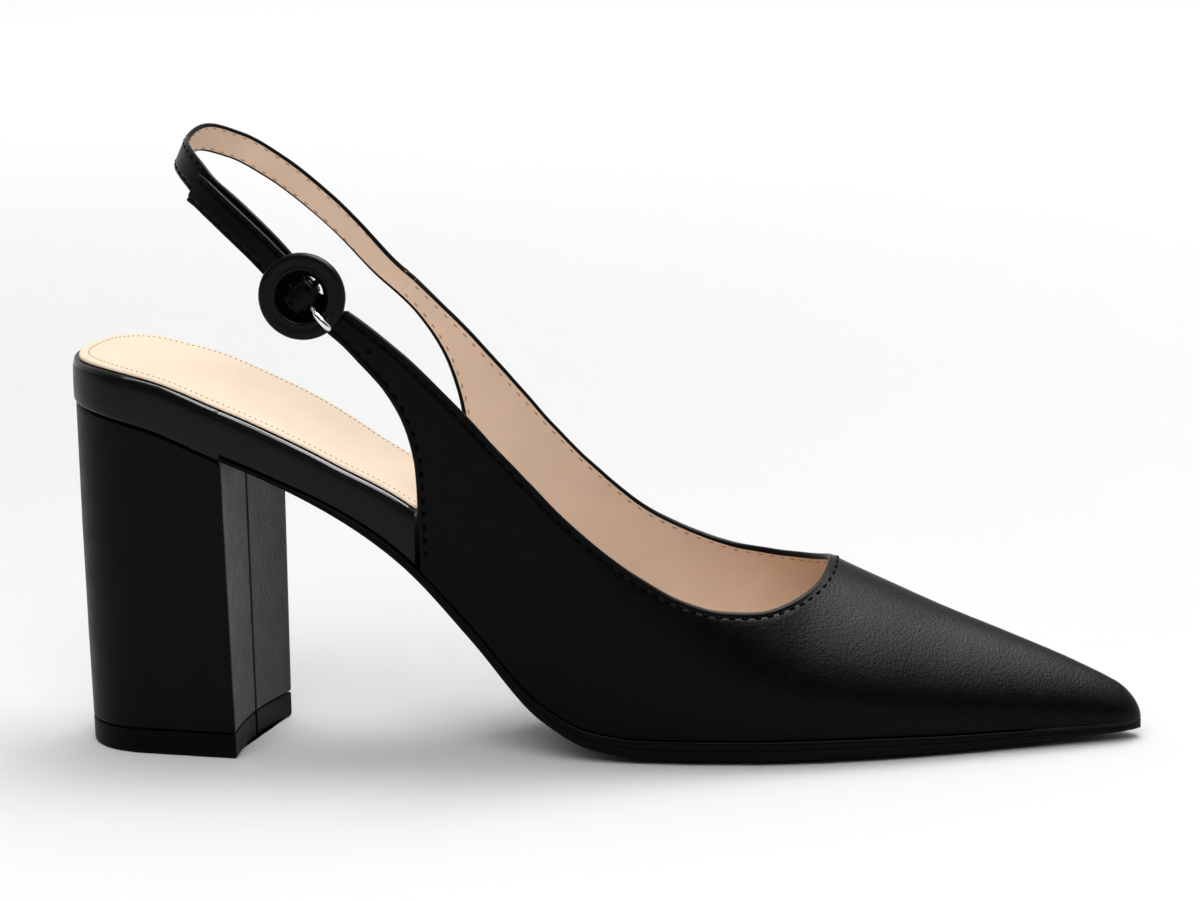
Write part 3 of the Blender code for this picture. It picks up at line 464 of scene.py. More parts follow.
def wing_x(side):
    """Where the upper's rear edge comes down to the sole."""
    edges = LATERAL_EDGES if side < 0 else MEDIAL_EDGES
    return to_x(max(row[0] for row in edges if row[1] > 0))


def to_tip(first, tip, count, end_count, end_length):
    """Shares from a section to a rounded tip, closer together over the tip's last stretch."""
    end = end_length / SHOE_LENGTH
    straight = np.linspace(first, tip - end, count)
    return np.concatenate([straight, tip - end + end * np.sin(np.linspace(0, math.pi / 2, end_count + 1))[1:]])


# Sections of the sole at the seat, the arch and the forefoot: first and last share, count. Then their least spacing.
SECTIONS = ((0.10, 0.34, 9), (0.36, 0.54, 13), (0.57, 0.98, 14))
SECTION_SPACING = 0.004


def stations(first, tip, tip_round):
    """Sections shared by the outsole, footbed and sock: closer at the arch, in pairs at the breast and the wings."""
    shares = np.concatenate([np.linspace(*stretch) for stretch in SECTIONS])
    steps = [BREAST_SHARE, BREAST_SHARE + BREAST_STEP / SHOE_LENGTH]
    for side in (-1, 1):
        x = wing_x(side)
        slant = side * half_width(to_share(x)) * np.sin(turn(to_share(x)))
        for before in (1.1 * TUCK_LEAD, TUCK_LEAD - 1.08 * TUCK_RUN):
            steps.append(float(to_share(x - slant - before)))
    steps = np.array(steps)
    shares = shares[np.abs(shares[:, None] - steps[None, :]).min(axis=1) > SECTION_SPACING]
    shares = np.sort(np.concatenate([shares, steps]))
    end = tip_round / SHOE_LENGTH
    shares = shares[(shares > first + SECTION_SPACING / 2) & (shares < tip - end - SECTION_SPACING / 2)]
    return np.concatenate([[first], shares, to_tip(tip - end, tip, 1, 6, tip_round)])


def tuck(shares, side, margin, tip):
    """How far one side of the footbed runs from its middle: the full seat, then inside the upper's wall."""
    half = half_width(shares, margin, tip, TIP_ROUND)
    edge_x = to_x(shares) + side * half * np.sin(turn(shares))
    inside = ease((edge_x - wing_x(side) + TUCK_LEAD) / TUCK_RUN)
    wall = FEATHER_INSET + UPPER_WALL + GAP
    return side * np.maximum(half - wall * inside, 0.02 * half)


def board_edges(shares, margin, tip):
    """Metres from the middle to the lateral and to the medial edge of the footbed or sock."""
    return np.stack([tuck(shares, side, margin, tip) for side in (-1, 1)], -1)


def feather_line(side):
    """Edge of the outsole's top on one side, where the upper meets it."""
    shares = np.concatenate([np.linspace(0.1, 0.96, 140), np.linspace(0.961, 1.0, 60)])
    half = np.maximum(half_width(shares) - FEATHER_INSET, 0.0)
    height = underside(shares) + lift(shares, 1.0) + sole_thickness(shares)
    return section(shares, side * half, height)


FEATHER = {-1: feather_line(-1), 1: feather_line(1)}


def last_frame(side, x):
    """Height of the feather line and of the ridge above it, and the four guides of the section between them."""
    share = to_share(x)
    line = FEATHER[side]
    foot = np.interp(x, line[:, 0], line[:, 1])
    base = np.interp(x, line[:, 0], line[:, 2]) + GAP
    toe = round_end((1 - share) * SHOE_LENGTH / TOE_ROUND)
    ridge = base + through(LAST, 1, share) * INSTEP_HEIGHT * toe
    lean = through(LAST, 2 if side < 0 else 3, share) * BALL_WIDTH * toe
    shoulder = through(LAST, 4 if side < 0 else 5, share) * BALL_WIDTH * toe
    return foot, base, ridge, lean, shoulder


def last_point(side, x, girth):
    """Outer surface of the upper, from the feather line at girth 0 to the ridge at girth 1."""
    foot, base, ridge, lean, shoulder = last_frame(side, x)
    middle = centre_y(to_share(x))
    t = girth
    a, b, c, d = (1 - t) ** 3, 3 * t * (1 - t) ** 2, 3 * t * t * (1 - t), t**3
    y = a * foot + b * (foot + side * lean) + c * (middle + side * shoulder) + d * middle
    z = a * base + b * (base + SIDE_RISE * (ridge - base)) + (c + d) * ridge
    return np.stack([x + 0 * y, y, z], -1)


def girth_at(side, x, height):
    """Girth at which the outer surface reaches a height."""
    low = np.zeros_like(x)
    high = np.ones_like(x)
    for _ in range(40):
        middle = (low + high) / 2
        below = last_point(side, x, middle)[..., 2] < height
        low = np.where(below, middle, low)
        high = np.where(below, high, middle)
    return (low + high) / 2


def outward(side, x, girth):
    """Unit normals of the outer surface."""
    dx = 0.3 * MM
    dg = 0.01
    ahead = np.minimum(x + dx, to_x(1.0) - 0.01 * MM)
    along = last_point(side, ahead, girth) - last_point(side, x - dx, girth)
    up = last_point(side, x, np.minimum(girth + dg, 1)) - last_point(side, x, np.maximum(girth - dg, 0))
    normal = np.cross(along, up) * side * -1
    length = np.linalg.norm(normal, axis=-1, keepdims=True)
    return normal / np.maximum(length, 1e-12)


def ridge_normal(x):
    """Unit normals of the outer surface along its ridge, the same from both sides."""
    dx = 0.3 * MM
    ahead = np.minimum(x + dx, to_x(1.0) - 0.01 * MM)
    rise = last_frame(1, ahead)[2] - last_frame(1, x - dx)[2]
    return unit(np.stack([-rise, 0 * x, ahead - (x - dx)], -1))


def wall_columns(side):
    """Lower and upper end of each column of the wall, from the rear of the wing to the toe, and the throat's column."""
    edges = LATERAL_EDGES if side < 0 else MEDIAL_EDGES
    throat = 6 * (len(edges) - 1)
    low_share, low_rise, top_share, top_rise = traced(edges, throat + 1)
    low_x, top_x = to_x(low_share), to_x(top_share)
    low_girth = girth_at(side, low_x, last_frame(side, low_x)[1] + low_rise * INSTEP_HEIGHT)
    low_girth[low_rise * INSTEP_HEIGHT < 0.01 * MM] = 0.0
    top_girth = girth_at(side, top_x, last_frame(side, top_x)[1] + top_rise * INSTEP_HEIGHT)
    top_girth[-1] = 1.0
    vamp = to_x(to_tip(edges[-1][2], 1.0, 56, 26, TOE_ROUND)[1:])
    low_x, top_x = np.concatenate([low_x, vamp]), np.concatenate([top_x, vamp])
    low_girth = np.concatenate([low_girth, np.zeros(len(vamp))])
    top_girth = np.concatenate([top_girth, np.ones(len(vamp))])
    return low_x, low_girth, top_x, top_girth, throat


def unit(vector):
    return vector / np.linalg.norm(vector, axis=-1, keepdims=True)


def loop_place(angle):
    """Place and outward direction on the loop that the straps follow, seen from above."""
    side = np.sign(angle)
    turned = np.radians(np.minimum(np.abs(angle), 90.0))
    beyond = np.radians(np.maximum(np.abs(angle) - 90.0, 0.0))
    x = to_x(LOOP_SHARE) + LOOP_DEPTH * (1 - np.cos(turned) + beyond)
    y = LOOP_CENTRE + side * LOOP_HALF_WIDTH * np.sin(turned)
    normal = np.stack([-np.cos(turned) / LOOP_DEPTH, side * np.sin(turned) / LOOP_HALF_WIDTH, 0 * x], -1)
    return np.stack([x, y, 0 * x], -1), unit(normal)


def strap_path(table, count):
    """Points, outward directions and widthways directions along the middle line of a strap."""
    angle, height, lean = traced(table, count)
    lean = lean[:, None] * STRAP_LEAN
    points, normal = loop_place(angle)
    points[:, 2] = SEAT_HEIGHT + STRAP_RISE * height
    forward = np.gradient(points, axis=0)
    forward = unit(forward - normal * (forward * normal).sum(-1, keepdims=True))
    wide = np.cross(normal, forward)
    wide *= np.sign(wide[:, 2:3])
    return points, normal * np.cos(lean) + wide * np.sin(lean), wide * np.cos(lean) - normal * np.sin(lean)


def run_along(points):
    return np.concatenate([[0.0], np.cumsum(np.linalg.norm(np.diff(points, axis=0), axis=1))])


def resample(run, values, at):
    return np.stack([np.interp(at, run, column) for column in values.T], -1)


def find_bar():
    """Centre of the bar's seat on the loop, the way along the holed strap to the wing, across it and outward."""
    seat = strap_path(SLING, 400)[0][-1]
    points, normal, wide = strap_path(HOLED, 400)
    nearest = np.argmin(np.linalg.norm(points - seat, axis=1))
    along = unit(np.cross(wide[nearest], normal[nearest]))
    return seat, along * np.sign(along[0]), wide[nearest], normal[nearest]


BAR = find_bar()


def at_bar(along, across, depth):
    """Place given by its run along the strap from the bar, its reach across it and its depth outward."""
    centre, forward, wide, out = BAR
    return (
        centre
        + np.multiply.outer(np.asarray(along, float), forward)
        + np.multiply.outer(np.asarray(across, float), wide)
        + np.multiply.outer(np.asarray(depth, float), out)
    )


# Meshes of the visual model

# Angle from which an edge stays sharp, and the distance under which points are joined.
CREASE = math.radians(38.0)
WELD = 0.001 * MM
ROD_SIDES = 24


def add_object(name, data):
    """Puts a mesh, a lamp or the camera into the scene."""
    obj = bpy.data.objects.new(name, data)
    bpy.context.scene.collection.objects.link(obj)
    return obj


def make_mesh(name, points, faces, looks, picks=(), weld=True, outward_faces=True):
    """A mesh whose doubled points are joined and whose faces are turned outward, each if asked."""
    data = bpy.data.meshes.new(name)
    data.from_pydata([tuple(point) for point in points], [], faces)
    for made in looks:
        data.materials.append(made)
    if picks:
        data.polygons.foreach_set("material_index", picks)
    work = bmesh.new()
    work.from_mesh(data)
    if weld:
        bmesh.ops.remove_doubles(work, verts=work.verts, dist=WELD)
        bmesh.ops.dissolve_degenerate(work, edges=work.edges, dist=WELD / 2)
    if outward_faces:
        bmesh.ops.recalc_face_normals(work, faces=work.faces)
        if work.calc_volume(signed=True) < 0:
            bmesh.ops.reverse_faces(work, faces=work.faces)
    work.to_mesh(data)
    work.free()
    return data


class Shell:
    """Strips of one surface, joined where their border points meet."""

    def __init__(self):
        self.points = []
        self.faces = []
        self.picks = []

    def grid(self, grid, pick=0, closed=False):
        """Adds a strip of rows and columns of points, closed round its columns if asked."""
        faces = sheet_faces(*grid.shape[:2], len(self.points), closed)
        self.points += list(grid.reshape(-1, 3))
        self.faces += faces
        self.picks += [pick] * len(faces)

    def cap(self, loop, pick=0):
        start = len(self.points)
        self.points += list(loop)
        self.faces.append(tuple(range(start, len(self.points))))
        self.picks.append(pick)

    def tube(self, rings):
        """Adds rings of points with a cap at each end."""
        self.grid(rings, closed=True)
        self.cap(rings[0])
        self.cap(rings[-1])

    def build(self, name, looks, replaced=()):
        data = make_mesh(name, self.points, self.faces, looks, self.picks)
        data.shade_smooth()
        data.set_sharp_from_angle(angle=CREASE)
        obj = add_object(name, data)
        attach(obj, "root")
        if replaced:
            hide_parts(*replaced)
        return obj


def cut(obj, cutters):
    """Takes cutters out of a piece for good."""
    for cutter in cutters:
        modifier = obj.modifiers.new(cutter.name, "BOOLEAN")
        modifier.operation = "DIFFERENCE"
        modifier.object = cutter
        modifier.solver = "EXACT"
    bpy.context.view_layer.update()
    shaped = obj.evaluated_get(bpy.context.evaluated_depsgraph_get())
    data = bpy.data.meshes.new_from_object(shaped)
    obj.modifiers.clear()
    obj.data = data
    data.set_sharp_from_angle(angle=CREASE)
    for cutter in cutters:
        bpy.data.objects.remove(cutter, do_unlink=True)


def make_cutter(name, points, faces, made):
    return add_object(name, make_mesh(name, points, faces, (made,), weld=False))


def tube_rows(line, sideways, radius, sides):
    """Rings of points round a line that lies in one plane, whose square direction is sideways."""
    line = np.asarray(line)
    radius = (radius * np.ones(len(line)))[:, None, None]
    forward = unit(np.gradient(line, axis=0))
    second = np.cross(forward, sideways)
    angle = np.linspace(0, 2 * math.pi, sides, endpoint=False)[None, :, None]
    return line[:, None, :] + radius * (np.cos(angle) * sideways + np.sin(angle) * second[:, None, :])


def rod_cutter(name, line, sideways, radius, made):
    rows = tube_rows(line, sideways, radius, ROD_SIDES)
    end = len(line) * ROD_SIDES
    faces = sheet_faces(len(line), ROD_SIDES, closed=True)
    faces += [tuple(range(ROD_SIDES)), tuple(range(end - ROD_SIDES, end))[::-1]]
    return make_cutter(name, rows.reshape(-1, 3), faces, made)


# Sole, footbed and sock

# Edge of the outsole from the floor up: height share of thickness, inset, band (0 tread, 1 welt).
SOLE_EDGE = (
    (0.00, 0.60, 0),
    (0.07, 0.38, 0),
    (0.17, 0.20, 0),
    (0.30, 0.08, 0),
    (0.44, 0.03, 0),
    (0.52, 0.06, 0),
    (0.55, 0.28, 1),
    (0.58, 0.28, 1),
    (0.61, 0.06, 1),
    (0.75, 0.00, 1),
    (0.90, 0.03, 1),
    (0.97, 0.14, 1),
    (1.00, 0.32, 1),
)
# Edge of the wrapped footbed from below up: height share, inset.
BAND_EDGE = (
    (0.00, 1.10),
    (0.015, 0.60),
    (0.04, 0.26),
    (0.08, 0.06),
    (0.30, 0.00),
    (0.55, 0.00),
    (0.74, 0.04),
    (0.83, 0.16),
    (0.90, 0.38),
    (0.95, 0.68),
    (0.985, 1.05),
    (1.00, 1.45),
)
# Share of a board's height above which its edge takes the second look.
BURNISH_SHARE = 0.88
# Inset of the insole's stitches from its edge, and how far behind its tip they stop.
SOCK_STITCH_INSET = 2.0 * MM
SOCK_STITCH_STOP = 0.03
# Edge of the sock: height share, inset.
SOCK_EDGE = ((0.0, 0.10), (0.3, 0.0), (0.6, 0.05), (0.85, 0.25), (1.0, 0.60))


# Share of the solid's thickness that the outsole's edge has under the seat, and where and how fast it grows to all.
SEAT_EDGE = 0.45
EDGE_GROWTH = (0.20, 0.12)


def edge_thickness(share):
    """The outsole's thickness, thinner than the solid's where it starts under the seat, so that no step shows there."""
    start, run = EDGE_GROWTH
    return sole_thickness(share) * (SEAT_EDGE + (1 - SEAT_EDGE) * ease((share - start) / run))


def dense_stations(first, tip, tip_round):
    """The sections of the solids with more between them."""
    end = tip - tip_round / SHOE_LENGTH
    shares = stations(first, tip, tip_round)
    more = np.linspace(first, end, 150)
    gap = np.abs(more[:, None] - shares[None, :]).min(axis=1)
    body = np.sort(np.concatenate([shares, more[gap > 0.0012]]))
    return np.concatenate([body[body < end - 0.0005], to_tip(end, tip, 1, 24, tip_round)])


def board_rows(margin, tip):
    start = margin / SHOE_LENGTH
    back = start + BACK_ROUND / SHOE_LENGTH * end_spaced(40)
    return np.concatenate([back[:-1], dense_stations(back[-1], tip - start, TIP_ROUND)])


def inset_reach(reach, inset):
    """Pulls a reach from the middle in by an inset, but never past the middle."""
    return np.sign(reach) * np.maximum(np.abs(reach) - np.minimum(inset, 0.45 * np.abs(reach)), 0.0)


def spread_between(edges, across):
    """Metres from the middle to shares across a board, from the reach of its two edges."""
    return np.where(across < 0, -edges[:, :1], edges[:, 1:]) * across


def make_outsole(welt, tread):
    shares = dense_stations(BREAST_SHARE + GAP / SHOE_LENGTH, 1.0, TOE_ROUND)[:, None]
    half = half_width(shares)
    thick = edge_thickness(shares)
    across = spread(25)[None, :]
    low = underside(shares) + lift(shares, across)
    under = inset_reach(across * half, SOLE_EDGE[0][1] * MM * np.abs(across) ** 8)
    over = across * inset_reach(half, SOLE_EDGE[-1][1] * MM)
    shell = Shell()
    shell.grid(section(shares, under, low), 0)
    shell.grid(section(shares, over, low + thick), 1)
    edge = np.array(SOLE_EDGE)
    welt_row = [row[2] for row in SOLE_EDGE].index(1)
    for side in (-1, 1):
        for band, rows in enumerate((edge[:welt_row], edge[welt_row - 1 :])):
            reach = inset_reach(side * half + 0 * rows[:, 0], rows[:, 1] * MM)
            level = underside(shares) + lift(shares, 1.0) + rows[:, 0] * thick
            shell.grid(section(shares, reach, level), band)
    shell.cap(end_loop(shares[:1], half[:1], low[:1], thick[:1], across), 0)
    shell.build("shoe_outsole", (tread, welt), ("outsole",))


def end_loop(share, half, low, thick, across):
    """Outline of the outsole's first section, to close it."""
    under = inset_reach(across * half, SOLE_EDGE[0][1] * MM * np.abs(across) ** 8)
    points = list(section(share, under, low)[0])
    for row in SOLE_EDGE[1:-1]:
        points += list(section(share, inset_reach(half, row[1] * MM), low[:, -1:] + row[0] * thick)[0])
    top = across[:, ::-1] * inset_reach(half, SOLE_EDGE[-1][1] * MM)
    points += list(section(share, top, low[:, ::-1] + thick)[0])
    for row in SOLE_EDGE[-2:0:-1]:
        points += list(section(share, inset_reach(-half, row[1] * MM), low[:, :1] + row[0] * thick)[0])
    return points


def board_body(name, shares, edges, low_of, high_of, profile, looks, slot, node, columns=25):
    """A board with a rounded edge between two levels given by functions of share and reach."""
    column = shares[:, None]
    across = spread(columns)
    heights, insets = np.array(profile).T
    insets = insets * MM
    shell = Shell()
    top = spread_between(inset_reach(edges, insets[-1]), across)
    shell.grid(section(column, top, high_of(column, top)), 0)
    under = spread_between(inset_reach(edges, insets[0]), across)
    shell.grid(section(column, under, low_of(column, across[None, :])), 0)
    split = int(np.searchsorted(heights, BURNISH_SHARE))
    for index, side in enumerate((-1.0, 1.0)):
        border = edges[:, index : index + 1]
        low = low_of(column, np.array([side]))
        high = high_of(column, inset_reach(border, insets[-1]))
        wall = section(column, inset_reach(border + 0 * heights, insets), low + heights * (high - low))
        shell.grid(wall[:, : split + 1], 0)
        shell.grid(wall[:, split:], len(looks) - 1)
    shell.build(name, looks, (node,))


def footbed_low(column, across):
    seat = underside(column) + 0 * across
    front = seat + lift(column, across) + edge_thickness(column) + GAP
    return np.where(column <= BREAST_SHARE, seat, front)


def make_footbed(*leathers):
    shares = board_rows(0.0, BOARD_TIP)
    edges = board_edges(shares, 0.0, BOARD_TIP)
    levels = (footbed_low, board_top)
    board_body("shoe_footbed", shares, edges, *levels, BAND_EDGE, leathers, "wrap_leather", "footbed")


def sock_top(column, reach):
    return board_top(column, reach) + GAP + SOCK_THICKNESS


def make_sock(lining, thread):
    shares = board_rows(SOCK_MARGIN, SOCK_TIP)
    edges = board_edges(shares, SOCK_MARGIN, SOCK_TIP)

    def low_of(column, across):
        return board_top(column, spread_between(edges, across)) + GAP

    board_body("shoe_sock", shares, edges, low_of, sock_top, SOCK_EDGE, (lining,), "cream_lining", "sock", 33)
    margin = SOCK_MARGIN + SOCK_STITCH_INSET
    inside = board_rows(margin, SOCK_TIP)
    inside = inside[inside < SOCK_TIP - SOCK_STITCH_STOP]
    reach = board_edges(inside, margin, SOCK_TIP)
    line = section(inside[:, None], reach, sock_top(inside[:, None], reach))
    points = np.concatenate([line[::-1, 0], line[1:, 1]])
    up = np.tile([0.0, 0.0, 1.0], (len(points), 1))
    stitch_row("sock_stitching", [(points, up)], SOCK_STITCH, thread)


# Heel


# Points along each side and round the back of the heel's outline.
SIDE_POINTS = 150
BACK_POINTS = 20
# Rings of the heel at its foot and at its head: level, millimetres from that end, inset in millimetres.
HEEL_FOOT = ((0.07, 0.0, 0.35), (0.07, 0.12, 0.12), (0.07, 0.3, 0.02), (0.075, 0.8, 0.0))
HEEL_HEAD = ((0.93, 1.6, 0.0), (0.985, 0.7, 0.14), (0.992, 0.25, 0.5), (1.0, 0.0, 1.1))
# Rings between them: level and share of the way up.
HEEL_SHAFT = ((0.3, 0.25), (0.6, 0.6))
# Rings of the top piece: rise and inset in millimetres.
TOP_PIECE = (
    (0.0, 0.55),
    (0.12, 0.30),
    (0.35, 0.10),
    (0.8, 0.0),
    (2.9, 0.0),
    (5.0, 0.0),
    (5.45, 0.02),
    (5.7, 0.10),
    (5.8, 0.30),
)


def heel_loop(level):
    """Closed outline of the heel at a level, as metres along and across, and the point where its breast starts."""
    along, half = heel_outline(level)
    back = half[0] * spread(41)
    reach = half[-1] * spread(81)
    groove = GROOVE_WIDTH / 2
    close = np.linspace(-1.3, 1.3, 25) * groove
    across = np.sort(np.concatenate([reach[np.abs(reach) > 1.35 * groove], close]))
    breast = np.interp(across, reach, along[-1] - BREAST_HOLLOW * (1 - spread(81) ** 2))
    breast -= GROOVE_DEPTH * np.clip(1 - (np.abs(across) / groove) ** 4, 0, 1)
    parts = []
    for part, count in (
        ((along[::-1], -half[::-1]), SIDE_POINTS),
        ((along[0] + 0 * back, back), BACK_POINTS),
        ((along, half), SIDE_POINTS),
    ):
        part = np.stack(part, -1)
        run = run_along(part)
        parts.append(resample(run, part, np.linspace(0, run[-1], count))[:-1])
    parts.append(np.stack([breast[::-1], across[::-1]], -1)[:-1])
    loop = np.concatenate(parts)
    for _ in range(2):
        loop = (np.roll(loop, 1, axis=0) + 2 * loop + np.roll(loop, -1, axis=0)) / 4
    return loop, 2 * (SIDE_POINTS - 1) + BACK_POINTS - 1


def heel_body(name, rings_of, looks, node):
    """A body of rings round the heel, each given by its level, a function for its height and its inset."""
    rings = []
    for level, height_of, inset in rings_of:
        loop, breast_start = heel_loop(level)
        way = np.roll(loop, -1, axis=0) - np.roll(loop, 1, axis=0)
        normal = unit(np.stack([way[:, 1], -way[:, 0]], -1))
        normal *= np.sign(((loop - loop.mean(axis=0)) * normal).sum(-1).mean())
        loop = loop - inset * MM * normal
        rings.append(heel_place(loop[:, 0], loop[:, 1], height_of(loop[:, 0])))
    rings = np.array(rings)
    shell = Shell()
    shell.grid(rings[:, : breast_start + 1], 0)
    # The breast takes the second look; on the heel that look is lighter than the sides', painted light on that face.
    shell.grid(np.concatenate([rings[:, breast_start:], rings[:, :1]], axis=1), 1)
    shell.cap(rings[0], 0)
    shell.cap(rings[-1], 0)
    shell.build(name, looks, (node,))


def make_heel(*leathers):
    def at_floor(rise):
        return lambda along: TOP_PIECE_HEIGHT + GAP + rise * MM + 0 * along

    def at_seat(drop):
        return lambda along: underside(to_share(along * math.cos(HEEL_TURN))) - GAP - drop * MM

    def between(share):
        low, high = at_floor(HEEL_FOOT[-1][1]), at_seat(HEEL_HEAD[0][1])
        return lambda along: low(along) * (1 - share) + high(along) * share

    rings = [(level, at_floor(rise), inset) for level, rise, inset in HEEL_FOOT]
    rings += [(level, between(share), 0.0) for level, share in HEEL_SHAFT]
    rings += [(level, at_seat(drop), inset) for level, drop, inset in HEEL_HEAD]
    heel_body("shoe_heel", rings, leathers, "heel_block")


def make_top_piece(rubber):
    full = TOP_PIECE[-1][0]

    def at(rise):
        return lambda along: rise / full * TOP_PIECE_HEIGHT + 0 * along

    rings = [(HEEL_FOOT[0][0] * rise / full, at(rise), inset) for rise, inset in TOP_PIECE]
    heel_body("shoe_top_piece", rings, (rubber, rubber), "heel_top_piece")


# Upper

EDGE_STEPS = np.array([0.0, 0.25, 0.5, 0.75, 1.1, 1.6]) * MM
MIDDLE_ROWS = 20
RIM_SHARE = 0.5
RIM_POINTS = 9
# Width of edge that turns over by the feather line, and girth under which a lower edge lies on it.
FOOT_ROLL = 0.2 * MM
WING_GIRTH = 0.02
# Share of the length from which the topline's rim fades out into the vamp.
RIM_FADE = 0.655
# Length of column under which the rows by its edges close up, and girth over which a lower edge gains its full rim.
SHORT_COLUMN = 7.0 * MM
RIM_GROWTH = 0.03
# Rise of the toe cavity's end of the instep height, and the share of the length and the run over which it closes.
CAVITY_RISE = 0.12
CAVITY_START = 0.90
CAVITY_RUN = 0.10

# Stitches: distance from the edge, and the shallow channel that they lie in.
STITCH_INSET = 1.55 * MM
STRAP_STITCH_INSET = 1.0 * MM
LINING_STITCH_INSET = 1.4 * MM
CHANNEL_DEPTH = 0.26 * MM
CHANNEL_WIDTH = 0.36 * MM
# Pitch, length and radius of each kind of stitch, and how far they bow out and sink in, of their radius.
UPPER_STITCH = (3.1 * MM, 1.9 * MM, 0.32 * MM)
SLING_STITCH = (3.1 * MM, 1.9 * MM, 0.25 * MM)
LINING_STITCH = (3.1 * MM, 1.3 * MM, 0.16 * MM)
SOCK_STITCH = (1.35 * MM, 0.75 * MM, 0.14 * MM)
STITCH_ARCH = 0.35
STITCH_SINK = 0.9


def row_distances(total, low_pull, top_pull):
    """Distances along each column of the rows of points, closer together by both edges."""
    scale = np.minimum(1.0, total / SHORT_COLUMN)[:, None]
    low = scale * (low_pull[:, None] + EDGE_STEPS[None, :])
    top = total[:, None] - scale * (top_pull[:, None] + EDGE_STEPS[None, :])
    share = np.linspace(0, 1, MIDDLE_ROWS + 2)[None, 1:-1]
    middle = low[:, -1:] * (1 - share) + top[:, -1:] * share
    return np.concatenate([low, middle, top[:, ::-1]], axis=1)


def channel(distance, inset=STITCH_INSET):
    """Depth of the shallow channel that a row of stitches lies in, at a distance from the edge."""
    return CHANNEL_DEPTH * np.exp(-(((distance - inset) / CHANNEL_WIDTH) ** 2))


def rim_rows(outer, inner, away, reach):
    """Rounded edge from the outer to the inner border, standing out by a reach in a direction."""
    angle = np.linspace(0, math.pi, RIM_POINTS)[None, :, None]
    middle = ((outer + inner) / 2)[:, None, :]
    half = ((outer - inner) / 2)[:, None, :]
    return middle + half * np.cos(angle) + (away * reach[:, None])[:, None, :] * np.sin(angle)


def wall_side(side):
    """Outer and inner points of one side of the upper, its border lines, normals and the throat's column."""
    low_x, low_girth, top_x, top_girth, throat = wall_columns(side)
    fine = np.linspace(0, 1, 90)
    x = low_x[:, None] * (1 - fine) + top_x[:, None] * fine
    girth = low_girth[:, None] * (1 - fine) + top_girth[:, None] * fine
    line = last_point(side, x, girth)
    run = np.cumsum(np.linalg.norm(np.diff(line, axis=1), axis=2), axis=1)
    run = np.concatenate([np.zeros((len(run), 1)), run], axis=1)
    total = run[:, -1]
    rim = RIM_SHARE * UPPER_WALL
    fade = 1 - ease((to_share(top_x) - RIM_FADE) / (LATERAL_EDGES[-1][2] - RIM_FADE))
    wing = ease(low_girth / RIM_GROWTH)
    low_pull = FOOT_ROLL + (rim - FOOT_ROLL) * wing
    distance = row_distances(total, low_pull, rim * fade)
    v = np.stack([np.interp(distance[i], run[i], fine) for i in range(len(run))])
    x = low_x[:, None] * (1 - v) + top_x[:, None] * v
    girth = low_girth[:, None] * (1 - v) + top_girth[:, None] * v
    outer = last_point(side, x, girth)
    normal = outward(side, x, girth)
    normal[throat:, -1] = ridge_normal(x[throat:, -1])
    share = to_share(x)
    wall = np.minimum(UPPER_WALL, 0.5 * half_width(share))
    inner = outer - wall[..., None] * normal
    tip_x = to_x(1.0) - TOE_CAVITY
    tip = last_point(side, np.array(tip_x), np.array(0.0))
    tip[1] = centre_y(to_share(tip_x))
    tip[2] += CAVITY_RISE * INSTEP_HEIGHT
    close = (np.clip((share - CAVITY_START) / CAVITY_RUN, 0.0, 1.0) ** 2)[..., None]
    inner[..., 1:] = inner[..., 1:] * (1 - close) + tip[1:] * close
    inner[..., 0] -= TOE_CAVITY * close[..., 0]
    sunk = channel(total[:, None] - distance) * fade[:, None] + channel(distance) * wing[:, None]
    outer = outer - sunk[..., None] * normal
    top_reach = rim * fade + 0.3 * UPPER_WALL * (1 - fade)
    return {
        "outer": outer,
        "inner": inner,
        "normal": normal,
        "top": line[:, -1],
        "low": line[:, 0],
        "throat": throat,
        "top_reach": top_reach,
        "low_reach": np.minimum(low_pull, wall[:, 0] / 2 + 0.05 * MM),
    }


def strap_wall(points, normal, wide, depth):
    """The same borders and grids for a length of flat strap."""
    run = run_along(points)
    slope = np.gradient(depth, run)[:, None]
    forward = unit(np.gradient(points, axis=0))
    rise = unit(normal - slope * forward)
    middle = points + depth[:, None] * normal
    rim = RIM_SHARE * STRAP_THICKNESS
    count = np.ones(len(points))
    distance = row_distances(STRAP_WIDTH * count, rim * count, rim * count)
    across = (distance - STRAP_WIDTH / 2)[..., None] * wide[:, None, :]
    inner = middle[:, None, :] + across
    outer = inner + STRAP_THICKNESS * rise[:, None, :]
    sunk = channel(distance, STRAP_STITCH_INSET) + channel(STRAP_WIDTH - distance, STRAP_STITCH_INSET)
    edge = STRAP_WIDTH / 2 * wide
    return {
        "outer": outer - sunk[..., None] * rise[:, None, :],
        "inner": inner,
        "normal": rise,
        "wide": wide,
        "top": middle + STRAP_THICKNESS * rise + edge,
        "low": middle + STRAP_THICKNESS * rise - edge,
        "reach": rim * count,
    }


# Half run of the close rows where the holed strap crosses the bar, and the runs from the bar where the wide rows before
# and after them end, of bar depth.
CROSSING = 1.79
BEFORE_CROSSING = 2.03
AFTER_CROSSING = 2.0


